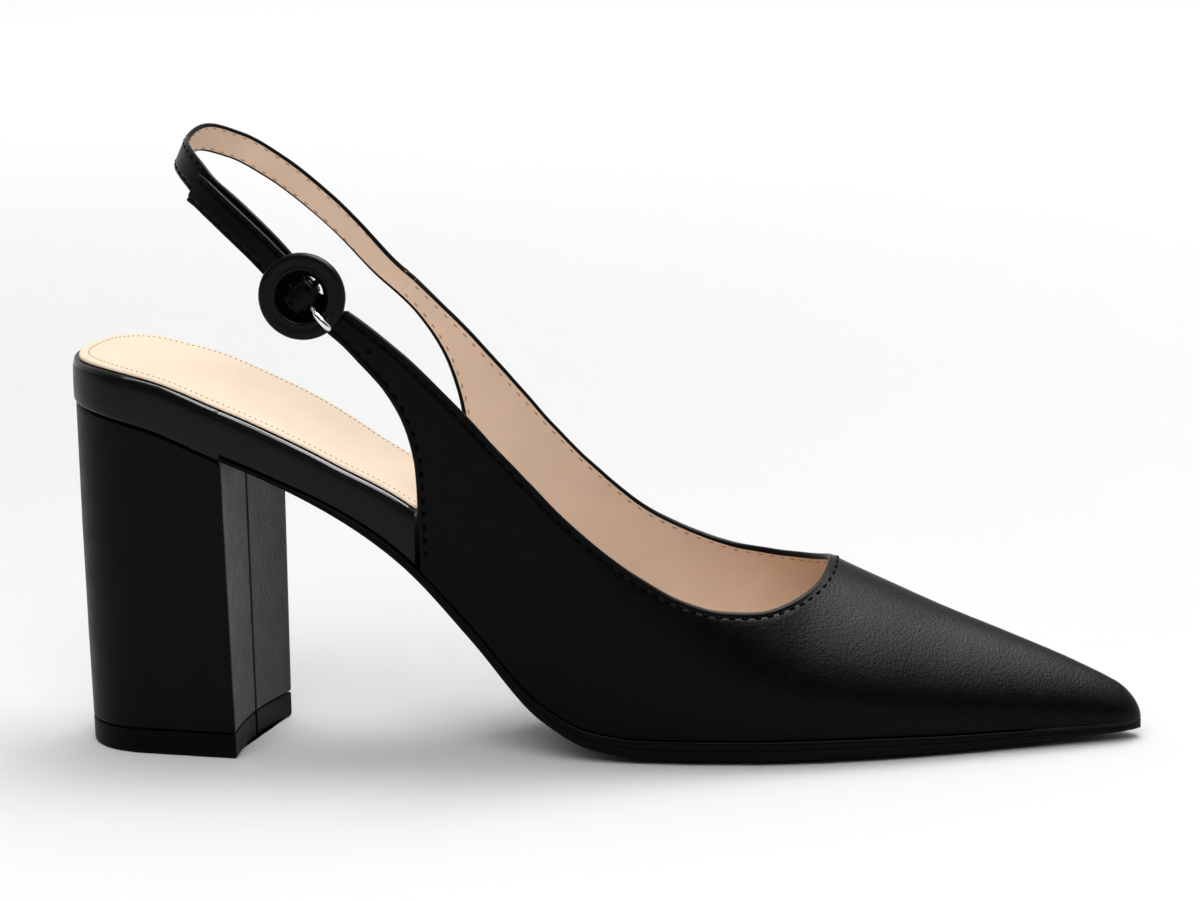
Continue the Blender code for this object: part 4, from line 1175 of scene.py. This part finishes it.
def holed_strap():
    points, normal, wide = strap_path(HOLED, 1200)
    run = run_along(points)
    bar_run = run[np.argmin(np.linalg.norm(points - BAR[0], axis=1))]
    runs, depths = np.array(LACING).T * BAR_DEPTH
    to_buckle = np.linspace(STRAP_JOIN, bar_run - BEFORE_CROSSING * BAR_DEPTH, 9)
    over_bar = bar_run + np.linspace(-CROSSING, CROSSING, 70) * BAR_DEPTH
    to_end = np.linspace(bar_run + AFTER_CROSSING * BAR_DEPTH, run[-1], 60)
    at = np.concatenate([to_buckle, over_bar, to_end])[::-1]
    depth = smooth(runs, depths, bar_run - at)
    points, normal, wide = (resample(run, values, at) for values in (points, normal, wide))
    return strap_wall(points, unit(normal), unit(wide), depth)


def border_ways(walls):
    """Directions out of the material along the topline and the lower edge of both sides."""
    ends = [walls[side]["throat"] + 1 for side in (-1, 1)]
    joined = np.concatenate([walls[-1]["top"][: ends[0]], walls[1]["top"][: ends[1]][::-1][1:]])
    way = np.gradient(joined, axis=0)
    ways = {-1: way[: ends[0]], 1: -way[ends[0] - 1 :][::-1]}
    for side in (-1, 1):
        wall = walls[side]
        normal = wall["normal"][: len(ways[side]), -1]
        wall["top_away"] = unit(side * np.cross(ways[side], normal))
        low_way = np.gradient(wall["low"], axis=0)
        low_way[-1] = low_way[-2]
        away = -side * np.cross(low_way, wall["normal"][:, 0])
        wall["low_away"] = away / np.maximum(np.linalg.norm(away, axis=-1, keepdims=True), 1e-9)


def wall_rim(wall, edge, columns):
    """Rounded topline or lower edge of one side of the upper, for a slice of its columns."""
    row = -1 if edge == "top" else 0
    outer, inner = wall["outer"][columns, row], wall["inner"][columns, row]
    return rim_rows(outer, inner, wall[edge + "_away"][columns], wall[edge + "_reach"][columns])


def strap_rims(strap):
    """Rounded upper and lower edge of a length of strap."""
    outer, inner, wide, reach = (strap[key] for key in ("outer", "inner", "wide", "reach"))
    return rim_rows(outer[:, -1], inner[:, -1], wide, reach), rim_rows(outer[:, 0], inner[:, 0], -wide, reach)


def end_cap(outer, inner, top, low, end):
    """Outline of a wall's first or last column."""
    return np.concatenate([outer[end], top[end, 1:-1], inner[end, ::-1], low[end, -2:0:-1]])


def make_upper(leather, rim_leather, lining, hole_shade_look):
    walls = {side: wall_side(side) for side in (-1, 1)}
    border_ways(walls)
    strap = holed_strap()
    shell = Shell()
    for side, wall in walls.items():
        rims = wall_rim(wall, "top", slice(wall["throat"] + 1)), wall_rim(wall, "low", slice(None))
        parts = [wall["outer"], wall["inner"], *rims]
        if side < 0:
            lead = (strap["outer"], strap["inner"], *strap_rims(strap))
            parts = [np.concatenate(pair) for pair in zip(lead, parts)]
        for part, pick in zip(parts, (0, 2, 1, 1)):
            shell.grid(part, pick)
        shell.cap(end_cap(*parts, 0), 1)
    upper = shell.build("shoe_upper", (leather, rim_leather, lining), ("upper",))
    # The hole cutters carry the near-black, dull look: painted shade inside the holes.
    cut(upper, [punched_hole(walls[-1]["outer"], hole_shade_look), prong_hole(hole_shade_look), spare_hole(hole_shade_look)])
    return walls, strap


def prong_line(count):
    along, depth, _ = traced(PRONG, count)
    return at_bar(along * BAR_DEPTH, 0 * along, depth * BAR_DEPTH)


# Run of the spare hole from the bar and the depths that it spans, of bar depth.
SPARE_RUN = -1.05
SPARE_SPAN = (0.3, 3.0)


def prong_hole(made):
    """A hole along the prong's route, from where it has turned round the bar."""
    line = prong_line(31)[12:]
    return rod_cutter("prong_hole", line, BAR[2], PRONG_DIAMETER / 2 + PRONG_PLAY, made)


def spare_hole(made):
    """A second punched hole, on the far side of the bar from the prong."""
    depth = np.array(SPARE_SPAN) * BAR_DEPTH
    line = at_bar(SPARE_RUN * BAR_DEPTH + 0 * depth, 0 * depth, depth)
    return rod_cutter("spare_hole", line, BAR[2], PUNCH_DIAMETER / 2, made)


# How far the punched hole starts outside the wing and how much of the wall it leaves.
PUNCH_LEAD = 3.0 * MM
PUNCH_FLOOR = 0.45 * MM


def punched_hole(outer, made):
    """The hole in the wing, which stops short of the lining."""
    x = to_x(PUNCH_SHARE)
    height = SEAT_HEIGHT + PUNCH_RISE * STRAP_RISE
    face = surface_line(outer, [(x, LOOP_CENTRE - LOOP_HALF_WIDTH, height)])[0][0]
    line = np.array([(x, face[1] + reach, height) for reach in (-PUNCH_LEAD, UPPER_WALL - PUNCH_FLOOR)])
    return rod_cutter("punched_hole", line, np.array([1.0, 0.0, 0.0]), PUNCH_DIAMETER / 2, made)


# Sling strap

# Run over which the sling strap eases onto the edge of the medial wing, and the seam left between them.
WING_EASE = 25.0 * MM
WING_SEAM = 0.06 * MM
# Turn of the strap round the bar, in degrees.
FOLD_TURN = (-90, 150)
# Last stretch of the strap, over which it rises to the fold by a share of its thickness. Its rows lie closer over more
# than three such stretches.
FOLD_LEAD = 1.2 * FOLD_RADIUS
FOLD_LIFT = 0.4
WIDE_ROWS_END = 3.33
CLOSE_ROWS_START = 3.2


def sling_lines():
    points, normal, wide = strap_path(SLING, 1500)
    run = run_along(points)
    wide_rows = np.linspace(0, run[-1] - WIDE_ROWS_END * FOLD_LEAD, 190)
    close_rows = run[-1] - FOLD_LEAD * np.linspace(CLOSE_ROWS_START, 1.0, 24)
    at = np.concatenate([wide_rows, close_rows])
    depth = FOLD_LIFT * STRAP_THICKNESS * ease((at - run[-1]) / FOLD_LEAD + 2.0)
    points, normal, wide = (resample(run, values, at) for values in (points, normal, wide))
    return strap_wall(points, unit(normal), unit(wide), depth)


def make_sling(leather, rim_leather, lining, wing):
    """The sling strap, whose first rows close up to the rear edge of the medial wing."""
    strap = sling_lines()
    parts = [strap["outer"], strap["inner"], *strap_rims(strap)]
    middle = strap["outer"].shape[1] // 2
    seam = WING_SEAM * unit(strap["outer"][0, middle] - wing["outer"][0, middle])
    near = (1 - ease(run_along(strap["outer"][:, middle]) / WING_EASE))[:, None, None]
    first = slice(1)
    edge = (wing["outer"][first], wing["inner"][first], wall_rim(wing, "top", first), wall_rim(wing, "low", first))
    parts = [part + near * (border + seam - part[first]) for part, border in zip(parts, edge)]
    fold = np.radians(np.linspace(*FOLD_TURN, 41))
    rim = RIM_SHARE * STRAP_THICKNESS * np.ones(len(fold))
    across = row_distances(STRAP_WIDTH * np.ones(len(fold)), rim, rim) - STRAP_WIDTH / 2
    rolled = []
    for radius in (FOLD_RADIUS - LOOP_LEATHER, FOLD_RADIUS):
        along = radius * np.cos(fold)[:, None] + 0 * across
        rolled.append(at_bar(along, across, BAR_DEPTH + radius * np.sin(fold)[:, None] + 0 * across))
    loop = {"outer": rolled[0], "inner": rolled[1], "wide": np.tile(BAR[2], (len(fold), 1)), "reach": rim}
    parts = [np.concatenate(pair) for pair in zip(parts, (*rolled, *strap_rims(loop)))]
    outer, inner, top, low = parts
    flat = len(strap["outer"])
    shell = Shell()
    for part, pick in ((outer, 0), (inner[:flat], 2), (inner[flat - 1 :], 0), (top, 1), (low, 1)):
        shell.grid(part, pick)
    for end in (0, -1):
        shell.cap(end_cap(*parts, end), 1)
    sling = shell.build("shoe_sling", (leather, rim_leather, lining), ("sling_strap",))
    cut(sling, [prong_slot(rim_leather)])
    return strap


# Corners of the slot that the prong passes through: run and depth of bar depth.
SLOT_CORNERS = ((-0.90, -0.07), (1.17, -0.07), (1.17, 2.24), (-0.90, 2.24))


def prong_slot(made):
    half = PRONG_DIAMETER / 2 + GAP
    points = [at_bar(a * BAR_DEPTH, side * half, d * BAR_DEPTH) for side in (-1, 1) for a, d in SLOT_CORNERS]
    faces = [(0, 1, 2, 3), (7, 6, 5, 4)] + [(i, (i + 1) % 4, 4 + (i + 1) % 4, 4 + i) for i in range(4)]
    return make_cutter("prong_slot", points, faces, made)


# Buckle

# Section of the covered ring from its outer edge over the face to the hole: share of width, share of thickness.
RING_FACE = (
    (0.00, 0.50),
    (0.02, 0.72),
    (0.08, 0.88),
    (0.18, 0.97),
    (0.32, 1.00),
    (0.48, 0.97),
    (0.62, 0.93),
    (0.72, 0.93),
    (0.80, 0.97),
    (0.88, 0.97),
    (0.94, 0.90),
    (0.98, 0.76),
    (1.00, 0.55),
)


# Fold of the covering inside the hole: share of the ring's thickness and of the fold's width, then that width
# on the upper side and on the lower side of the strap.
RING_LIP = ((0.24, 0.0), (0.20, 0.5), (0.17, 0.95), (0.11, 1.0), (0.05, 0.95), (0.02, 0.5))
LIP_WIDTH = (1.0 * MM, 1.9 * MM)
# Rows of the ring's face and back that stand inside the hole, where the fold starts and ends.
HOLE_ROWS = 3
# Sides of the bar and of the prong, then the prong's steps in all, by its rounded tip and by its rounded start.
THIN_SIDES = 20
PRONG_STEPS = 90
TIP_STEPS = 6
START_STEPS = 3


def make_buckle(covering, fold, metal):
    outer, inner = BUCKLE_DIAMETER / 2, BUCKLE_HOLE / 2
    face = [(outer + (inner - outer) * a, BUCKLE_DEPTH + BUCKLE_THICKNESS * b, 0.0) for a, b in RING_FACE]
    back = [(radius, 2 * BUCKLE_DEPTH + BUCKLE_THICKNESS - depth, 0.0) for radius, depth, _ in face[::-1]]
    lip = [(inner, BUCKLE_DEPTH + BUCKLE_THICKNESS * b, reach) for b, reach in RING_LIP]
    profile = np.array(face + back[:1] + lip + back[HOLE_ROWS:])
    angle = np.linspace(0, 2 * math.pi, 145)[:, None]
    lip_width = LIP_WIDTH[0] + (LIP_WIDTH[1] - LIP_WIDTH[0]) * (1 - np.sin(angle)) / 2
    radius = profile[None, :, 0] - profile[None, :, 2] * lip_width
    along = radius * np.cos(angle)
    across = radius * np.sin(angle)
    points = at_bar(along, across, profile[None, :, 1] + 0 * angle)
    first, last = len(face) - HOLE_ROWS, len(face) + len(lip) + 1
    ring = Shell()
    ring.grid(points[:, : first + 1], 0)
    # The fold inside the hole takes a darker, duller look than the covering: painted shade inside the ring's hole.
    ring.grid(points[:, first : last + 1], 1)
    ring.grid(np.concatenate([points[:, last:], points[:, :1]], axis=1), 0)
    ring.build("shoe_buckle", (covering, fold), ("buckle",))
    across, rise = traced(BAR_ROUTE, 49)
    across = across * (inner + outer) / 2
    rim = BUCKLE_DEPTH + BUCKLE_THICKNESS / 3
    depth = BAR_DEPTH + (rim - BAR_DEPTH) * rise
    bar = Shell()
    bar.tube(tube_rows(at_bar(0 * across, across, depth), BAR[1], BAR_DIAMETER / 2, THIN_SIDES))
    bar.build("shoe_buckle_bar", (metal,))


def make_prong(metal):
    step = np.arange(PRONG_STEPS)
    growth = traced(PRONG, PRONG_STEPS)[2]
    tip = np.sqrt(np.clip(1 - ((step - (PRONG_STEPS - 1) + TIP_STEPS) / TIP_STEPS).clip(0) ** 2, 0.02, 1))
    start = np.sqrt(np.clip(1 - ((START_STEPS - step) / START_STEPS).clip(0) ** 2, 0.05, 1))
    shell = Shell()
    shell.tube(tube_rows(prong_line(PRONG_STEPS), BAR[2], PRONG_DIAMETER / 2 * growth * tip * start, THIN_SIDES))
    shell.build("shoe_prong", (metal,), ("buckle_prong",))


# Stitches


def stitch_row(name, lines, size, made):
    """One piece made of short rounded threads along lines, each bowed out of the surface and sunk at its ends."""
    pitch, length, radius = size
    shell = Shell()
    t = np.linspace(-1, 1, 9)
    girth = np.sqrt(np.clip(1 - t**4, 0.02, 1))
    angle = np.linspace(0, 2 * math.pi, 8, endpoint=False)[None, :, None]
    for line, normals in lines:
        run = run_along(line)
        count = max(int(run[-1] / pitch), 1)
        for centre in (np.arange(count) + 0.5) * run[-1] / count:
            at = centre + t * length / 2
            points = resample(run, line, at)
            up = unit(resample(run, normals, at))
            cross = np.cross(unit(np.gradient(points, axis=0)), up)
            middle = points + up * (radius * (STITCH_ARCH - (STITCH_ARCH + STITCH_SINK) * t**4))[:, None]
            around = np.cos(angle) * cross[:, None, :] + np.sin(angle) * up[:, None, :]
            shell.tube(middle[:, None, :] + (radius * girth)[:, None, None] * around)
    shell.build(name, (made,))


def surface_line(grid, targets):
    """The nearest points and normals of a surface to target points."""
    tree = BVHTree.FromPolygons([Vector(p) for p in grid.reshape(-1, 3)], sheet_faces(*grid.shape[:2]))
    found = [tree.find_nearest(Vector(target)) for target in targets]
    return np.array([tuple(hit[0]) for hit in found]), np.array([tuple(hit[1]) for hit in found])


def face_out(normals, guide):
    """Turns normals so that they point with a guide."""
    return normals * np.sign((normals * guide).sum(-1, keepdims=True))


def upper_stitches(walls, strap, thread, lining_thread):
    lines = {"outer": [], "inner": []}
    for side, wall in walls.items():
        topline = slice(wall["throat"] + 1)
        wing = slice(int(np.sum(wall_columns(side)[1] > WING_GIRTH)))
        for grid, sign, inset in (("outer", 1, STITCH_INSET), ("inner", -1, LINING_STITCH_INSET)):
            for edge, row, columns in (("top", -1, topline), ("low", 0, wing)):
                guide = wall["normal"][columns, row]
                border = wall[edge][columns] - (sign < 0) * UPPER_WALL * guide
                points, normals = surface_line(wall[grid], border - inset * wall[edge + "_away"][columns])
                lines[grid].append((points, face_out(normals, sign * guide)))
    outside = lines["outer"] + strap_lines(strap, "outer", 1)
    inside = lines["inner"] + strap_lines(strap, "inner", -1)
    stitch_row("upper_stitching", outside, UPPER_STITCH, thread)
    stitch_row("lining_stitching", inside, LINING_STITCH, lining_thread)


def sling_stitches(strap, thread, lining_thread):
    stitch_row("sling_stitching", strap_lines(strap, "outer", 1), SLING_STITCH, thread)
    stitch_row("sling_lining_stitching", strap_lines(strap, "inner", -1), LINING_STITCH, lining_thread)


def strap_lines(strap, grid, sign):
    lines = []
    for border, way in (("top", -1), ("low", 1)):
        targets = strap[border] + way * STRAP_STITCH_INSET * strap["wide"]
        targets = targets - (sign < 0) * STRAP_THICKNESS * strap["normal"]
        points, normals = surface_line(strap[grid], targets)
        lines.append((points, face_out(normals, sign * strap["normal"])))
    return lines


# Looks


def add(tree, kind, place, **values):
    made = tree.nodes.new(kind)
    made.location = place
    for key, value in values.items():
        made.inputs[key.replace("_", " ")].default_value = value
    return made


def join(tree, source, output, target, field):
    tree.links.new(source.outputs[output], target.inputs[field])


def look(name, colour, roughness, specular, metallic=0.0, clouds=60.0, tint=0.15, uneven=0.05, grain=()):
    """A finish with cloudy colour, uneven gloss and a grain of several sizes."""
    made = bpy.data.materials.new(name)
    made.use_nodes = True
    tree = made.node_tree
    shader = tree.nodes["Principled BSDF"]
    shader.inputs["Metallic"].default_value = metallic
    shader.inputs["Specular IOR Level"].default_value = specular
    place = add(tree, "ShaderNodeTexCoord", (-1200, 0))
    cloud = add(tree, "ShaderNodeTexNoise", (-900, 300), Scale=clouds, Detail=5.0, Roughness=0.6)
    ramp = add(tree, "ShaderNodeValToRGB", (-600, 300))
    for element, position, factor in zip(ramp.color_ramp.elements, (0.3, 0.7), (1 - tint, 1 + tint)):
        element.position = position
        element.color = (*(min(c * factor, 1.0) for c in colour), 1.0)
    worn = add(tree, "ShaderNodeTexNoise", (-900, 0), Scale=clouds * 3.1, Detail=6.0, Roughness=0.65)
    ends = {"To_Min": roughness - uneven, "To_Max": roughness + uneven}
    gloss = add(tree, "ShaderNodeMapRange", (-600, 0), From_Min=0.3, From_Max=0.7, **ends)
    join(tree, place, "Object", cloud, "Vector")
    join(tree, cloud, "Fac", ramp, "Fac")
    join(tree, ramp, "Color", shader, "Base Color")
    join(tree, place, "Object", worn, "Vector")
    join(tree, worn, "Fac", gloss, "Value")
    join(tree, gloss, "Result", shader, "Roughness")
    before = None
    for index, (kind, scale, depth, strength) in enumerate(grain):
        spot = (-900, -300 - 250 * index)
        if kind == "cells":
            texture = add(tree, "ShaderNodeTexVoronoi", spot, Scale=scale)
            texture.feature = "SMOOTH_F1"
        else:
            texture = add(tree, "ShaderNodeTexNoise", spot, Scale=scale, Detail=4.0, Roughness=0.6)
        bump = add(tree, "ShaderNodeBump", (-500, spot[1]), Strength=strength, Distance=depth)
        join(tree, place, "Object", texture, "Vector")
        join(tree, texture, "Distance" if kind == "cells" else "Fac", bump, "Height")
        if before is not None:
            join(tree, before, "Normal", bump, "Normal")
        before = bump
    if before is not None:
        join(tree, before, "Normal", shader, "Normal")
    return made


# Grains of the looks, coarsest layer first: kind, scale, depth, strength.
HIDE = (("cells", 1700.0, 0.0001, 0.6), ("noise", 420.0, 0.0001, 0.25), ("noise", 2900.0, 0.00005, 0.4))
FINE = (("cells", 2100.0, 0.00003, 0.25), ("noise", 500.0, 0.00008, 0.15))
PEBBLE = (("cells", 1500.0, 0.00015, 0.8), ("noise", 2900.0, 0.00006, 0.5))
BRUSHED = (("noise", 900.0, 0.00001, 0.1),)
TWIST = (("noise", 9000.0, 0.00004, 0.5),)


def one_grain(scale, depth, strength):
    return (("noise", scale, depth, strength),)


# Name of a look: colour, roughness, specular level and what differs from the usual finish.
LOOKS = {
    "upper_leather": ((0.0006, 0.0006, 0.0007), 0.38, 0.07, {"grain": HIDE, "tint": 0.25}),
    "edge_leather": ((0.0010, 0.0010, 0.0011), 0.34, 0.07, {"grain": FINE}),
    "sling_leather": ((0.0010, 0.0010, 0.0011), 0.36, 0.08, {"grain": FINE, "tint": 0.25}),
    "band_leather": ((0.0015, 0.0015, 0.0016), 0.34, 0.16, {"grain": FINE, "tint": 0.2}),
    "burnished_edge": (
        (0.0015, 0.0015, 0.0016),
        0.14,
        0.4,
        {"grain": one_grain(500.0, 0.00004, 0.15), "tint": 0.2, "uneven": 0.02},
    ),
    "heel_side_leather": ((0.0014, 0.0014, 0.0015), 0.42, 0.075, {"grain": FINE, "tint": 0.2}),
    # The breast's base colour is several times lighter than the sides': painted light for that brighter face, on top of
    # its own pebble grain.
    "heel_breast_pebble_and_painted_light": ((0.008, 0.008, 0.008), 0.5, 0.25, {"grain": PEBBLE, "tint": 0.25}),
    "beige_lining": (
        (0.61, 0.455, 0.35),
        0.6,
        0.1,
        {"grain": one_grain(2600.0, 0.00004, 0.3), "tint": 0.04, "clouds": 90.0},
    ),
    "cream_insole": (
        (0.66, 0.535, 0.415),
        0.5,
        0.05,
        {"grain": one_grain(2300.0, 0.00004, 0.3), "tint": 0.05, "clouds": 45.0},
    ),
    "sole_edge": ((0.0012, 0.0012, 0.0013), 0.4, 0.06, {"grain": one_grain(1800.0, 0.00003, 0.3), "tint": 0.2}),
    "sole_tread": ((0.0012, 0.0012, 0.0012), 0.62, 0.08, {"grain": one_grain(1500.0, 0.00006, 0.5), "tint": 0.2}),
    "heel_rubber": ((0.0008, 0.0008, 0.0008), 0.5, 0.06, {"grain": one_grain(1400.0, 0.00005, 0.4), "tint": 0.2}),
    "ring_covering": ((0.0015, 0.0015, 0.0016), 0.34, 0.10, {"grain": FINE}),
    "dark_metal": ((0.02, 0.02, 0.02), 0.35, 0.3, {"grain": BRUSHED, "tint": 0.1, "metallic": 1.0}),
    "bright_metal": ((0.82, 0.82, 0.83), 0.14, 0.5, {"grain": BRUSHED, "tint": 0.02, "metallic": 1.0, "uneven": 0.03}),
    "black_thread": ((0.0004, 0.0004, 0.0004), 0.45, 0.02, {"grain": TWIST, "tint": 0.3, "clouds": 900.0}),
    "brown_thread": ((0.30, 0.17, 0.09), 0.6, 0.3, {"grain": TWIST, "clouds": 900.0}),
    # Near-black, dull look for the insides of the punched holes and the ring's fold inside its hole: painted shade in
    # these recesses.
    "hole_painted_shade": ((0.0005, 0.0005, 0.0005), 0.7, 0.02, {"tint": 0.2}),
    "pale_floor": ((0.64, 0.64, 0.64), 0.9, 0.0, {"clouds": 3.0, "tint": 0.004, "uneven": 0.02}),
}


# Stage, light and camera

ROOM_FRONT = 0.06
ROOM_BACK = 0.80
# Distance from the shoe where the floor starts to glow, where it glows in full, and how strongly.
FLOOR_GLOW = (0.2, 1.3, 0.55)
FLOOR_MIDDLE = 0.1
FLOOR_RINGS = (0.0, 0.3, 0.8, 2.0, 5.0, 12.0)

# Name of a lamp: place, target, size, power and what it is hidden from.
LAMPS = {
    "overhead": ((0.30, 0.22, 1.0), (0.12, 0.0, 0.03), (0.9, 0.5), 6.5, {}),
    "top_sheen": ((0.42, 0.0, 1.05), (0.14, 0.0, 0.03), (1.3, 0.75), 38.0, {"diffuse": False}),
    "edge_strip": ((0.0, 0.05, 1.3), (0.08, 0.0, 0.06), (1.5, 0.05), 4.0, {}),
    "front_fill": ((0.0, -0.98, 1.0), (0.10, 0.0, 0.05), (1.1, 0.8), 13.0, {"glossy": False}),
}

CAMERA_TARGET = (0.099618, 0.021345, 0.063339)
CAMERA_TURN = math.radians(4.5)
CAMERA_RISE = math.radians(12.0)
CAMERA_ROLL = math.radians(0.8)
CAMERA_DISTANCE = 1.2
CAMERA_LENS = 153.18
SENSOR_WIDTH = 36.0
CAMERA_CLIP = (0.05, 50.0)


def make_camera():
    a, e, r = CAMERA_TURN, CAMERA_RISE, CAMERA_ROLL
    back = Vector((math.sin(a) * math.cos(e), -math.cos(a) * math.cos(e), math.sin(e)))
    level = Vector((math.cos(a), math.sin(a), 0.0))
    rise = back.cross(level)
    right = level * math.cos(r) - rise * math.sin(r)
    up = level * math.sin(r) + rise * math.cos(r)
    data = bpy.data.cameras.new("camera")
    data.lens = CAMERA_LENS
    data.sensor_width = SENSOR_WIDTH
    data.clip_start, data.clip_end = CAMERA_CLIP
    camera = add_object("camera", data)
    place = Vector(CAMERA_TARGET) + back * CAMERA_DISTANCE
    camera.matrix_world = Matrix([(right[i], up[i], back[i], place[i]) for i in range(3)] + [(0.0, 0.0, 0.0, 1.0)])
    bpy.context.scene.camera = camera


def make_floor(made):
    angle = np.linspace(0, 2 * math.pi, 97)[:, None]
    radius = np.array(FLOOR_RINGS)[None, :]
    grid = np.stack([FLOOR_MIDDLE + radius * np.cos(angle), radius * np.sin(angle), 0 * radius * angle], -1)
    faces = [face[::-1] for face in sheet_faces(*grid.shape[:2])]
    add_object("floor", make_mesh("floor", grid.reshape(-1, 3), faces, (made,), outward_faces=False))


def lift_far_floor(made):
    """Lets the floor glow a little far from the shoe, so that it stays evenly pale where the lamps fall off."""
    tree = made.node_tree
    shader = tree.nodes["Principled BSDF"]
    shader.inputs["Emission Color"].default_value = (1.0, 1.0, 1.0, 1.0)
    start, full, strength = FLOOR_GLOW
    place = add(tree, "ShaderNodeTexCoord", (-900, -600))
    length = add(tree, "ShaderNodeVectorMath", (-700, -600))
    length.operation = "LENGTH"
    ends = {"To_Min": 0.0, "To_Max": strength}
    glow = add(tree, "ShaderNodeMapRange", (-500, -600), From_Min=start, From_Max=full, **ends)
    glow.interpolation_type = "SMOOTHSTEP"
    join(tree, place, "Object", length, "Vector")
    join(tree, length, "Value", glow, "Value")
    join(tree, glow, "Result", shader, "Emission Strength")


def make_light(name, place, target, size, power, glossy=True, diffuse=True):
    data = bpy.data.lights.new(name, "AREA")
    data.shape = "RECTANGLE"
    data.size, data.size_y = size
    data.energy = power
    lamp = add_object(name, data)
    lamp.location = place
    lamp.rotation_euler = (Vector(target) - Vector(place)).to_track_quat("-Z", "Y").to_euler()
    lamp.visible_glossy = glossy
    lamp.visible_diffuse = diffuse


def make_world():
    """A pale room, brighter behind the shoe than in front of it."""
    world = bpy.data.worlds.new("studio")
    world.use_nodes = True
    tree = world.node_tree
    shade = tree.nodes["Background"]
    shade.inputs["Strength"].default_value = 1.0
    place = add(tree, "ShaderNodeTexCoord", (-900, 0))
    parts = add(tree, "ShaderNodeSeparateXYZ", (-700, 0))
    reach = add(tree, "ShaderNodeMapRange", (-500, 0), From_Min=-1.0, From_Max=1.0)
    ramp = add(tree, "ShaderNodeValToRGB", (-300, 0))
    for element, position, level in zip(ramp.color_ramp.elements, (0.15, 0.75), (ROOM_FRONT, ROOM_BACK)):
        element.position = position
        element.color = (level, level, level, 1.0)
    join(tree, place, "Generated", parts, "Vector")
    join(tree, parts, "Y", reach, "Value")
    join(tree, reach, "Result", ramp, "Fac")
    join(tree, ramp, "Color", shade, "Color")
    bpy.context.scene.world = world


def main():
    make_camera()
    made = {name: look(name, *values, **more) for name, (*values, more) in LOOKS.items()}
    lift_far_floor(made["pale_floor"])
    rim_leather, lining = made["edge_leather"], made["beige_lining"]
    threads = made["black_thread"], made["brown_thread"]
    make_outsole(made["sole_edge"], made["sole_tread"])
    make_heel(made["heel_side_leather"], made["heel_breast_pebble_and_painted_light"])
    make_top_piece(made["heel_rubber"])
    make_footbed(made["band_leather"], made["burnished_edge"])
    make_sock(made["cream_insole"], made["brown_thread"])
    walls, strap = make_upper(made["upper_leather"], rim_leather, lining, made["hole_painted_shade"])
    sling = make_sling(made["sling_leather"], rim_leather, lining, walls[1])
    upper_stitches(walls, strap, *threads)
    sling_stitches(sling, *threads)
    make_buckle(made["ring_covering"], made["hole_painted_shade"], made["dark_metal"])
    make_prong(made["bright_metal"])
    make_floor(made["pale_floor"])
    make_world()
    for name, (*values, more) in LAMPS.items():
        make_light(name, *values, **more)
    bpy.context.scene.view_settings.view_transform = "Standard"


main()
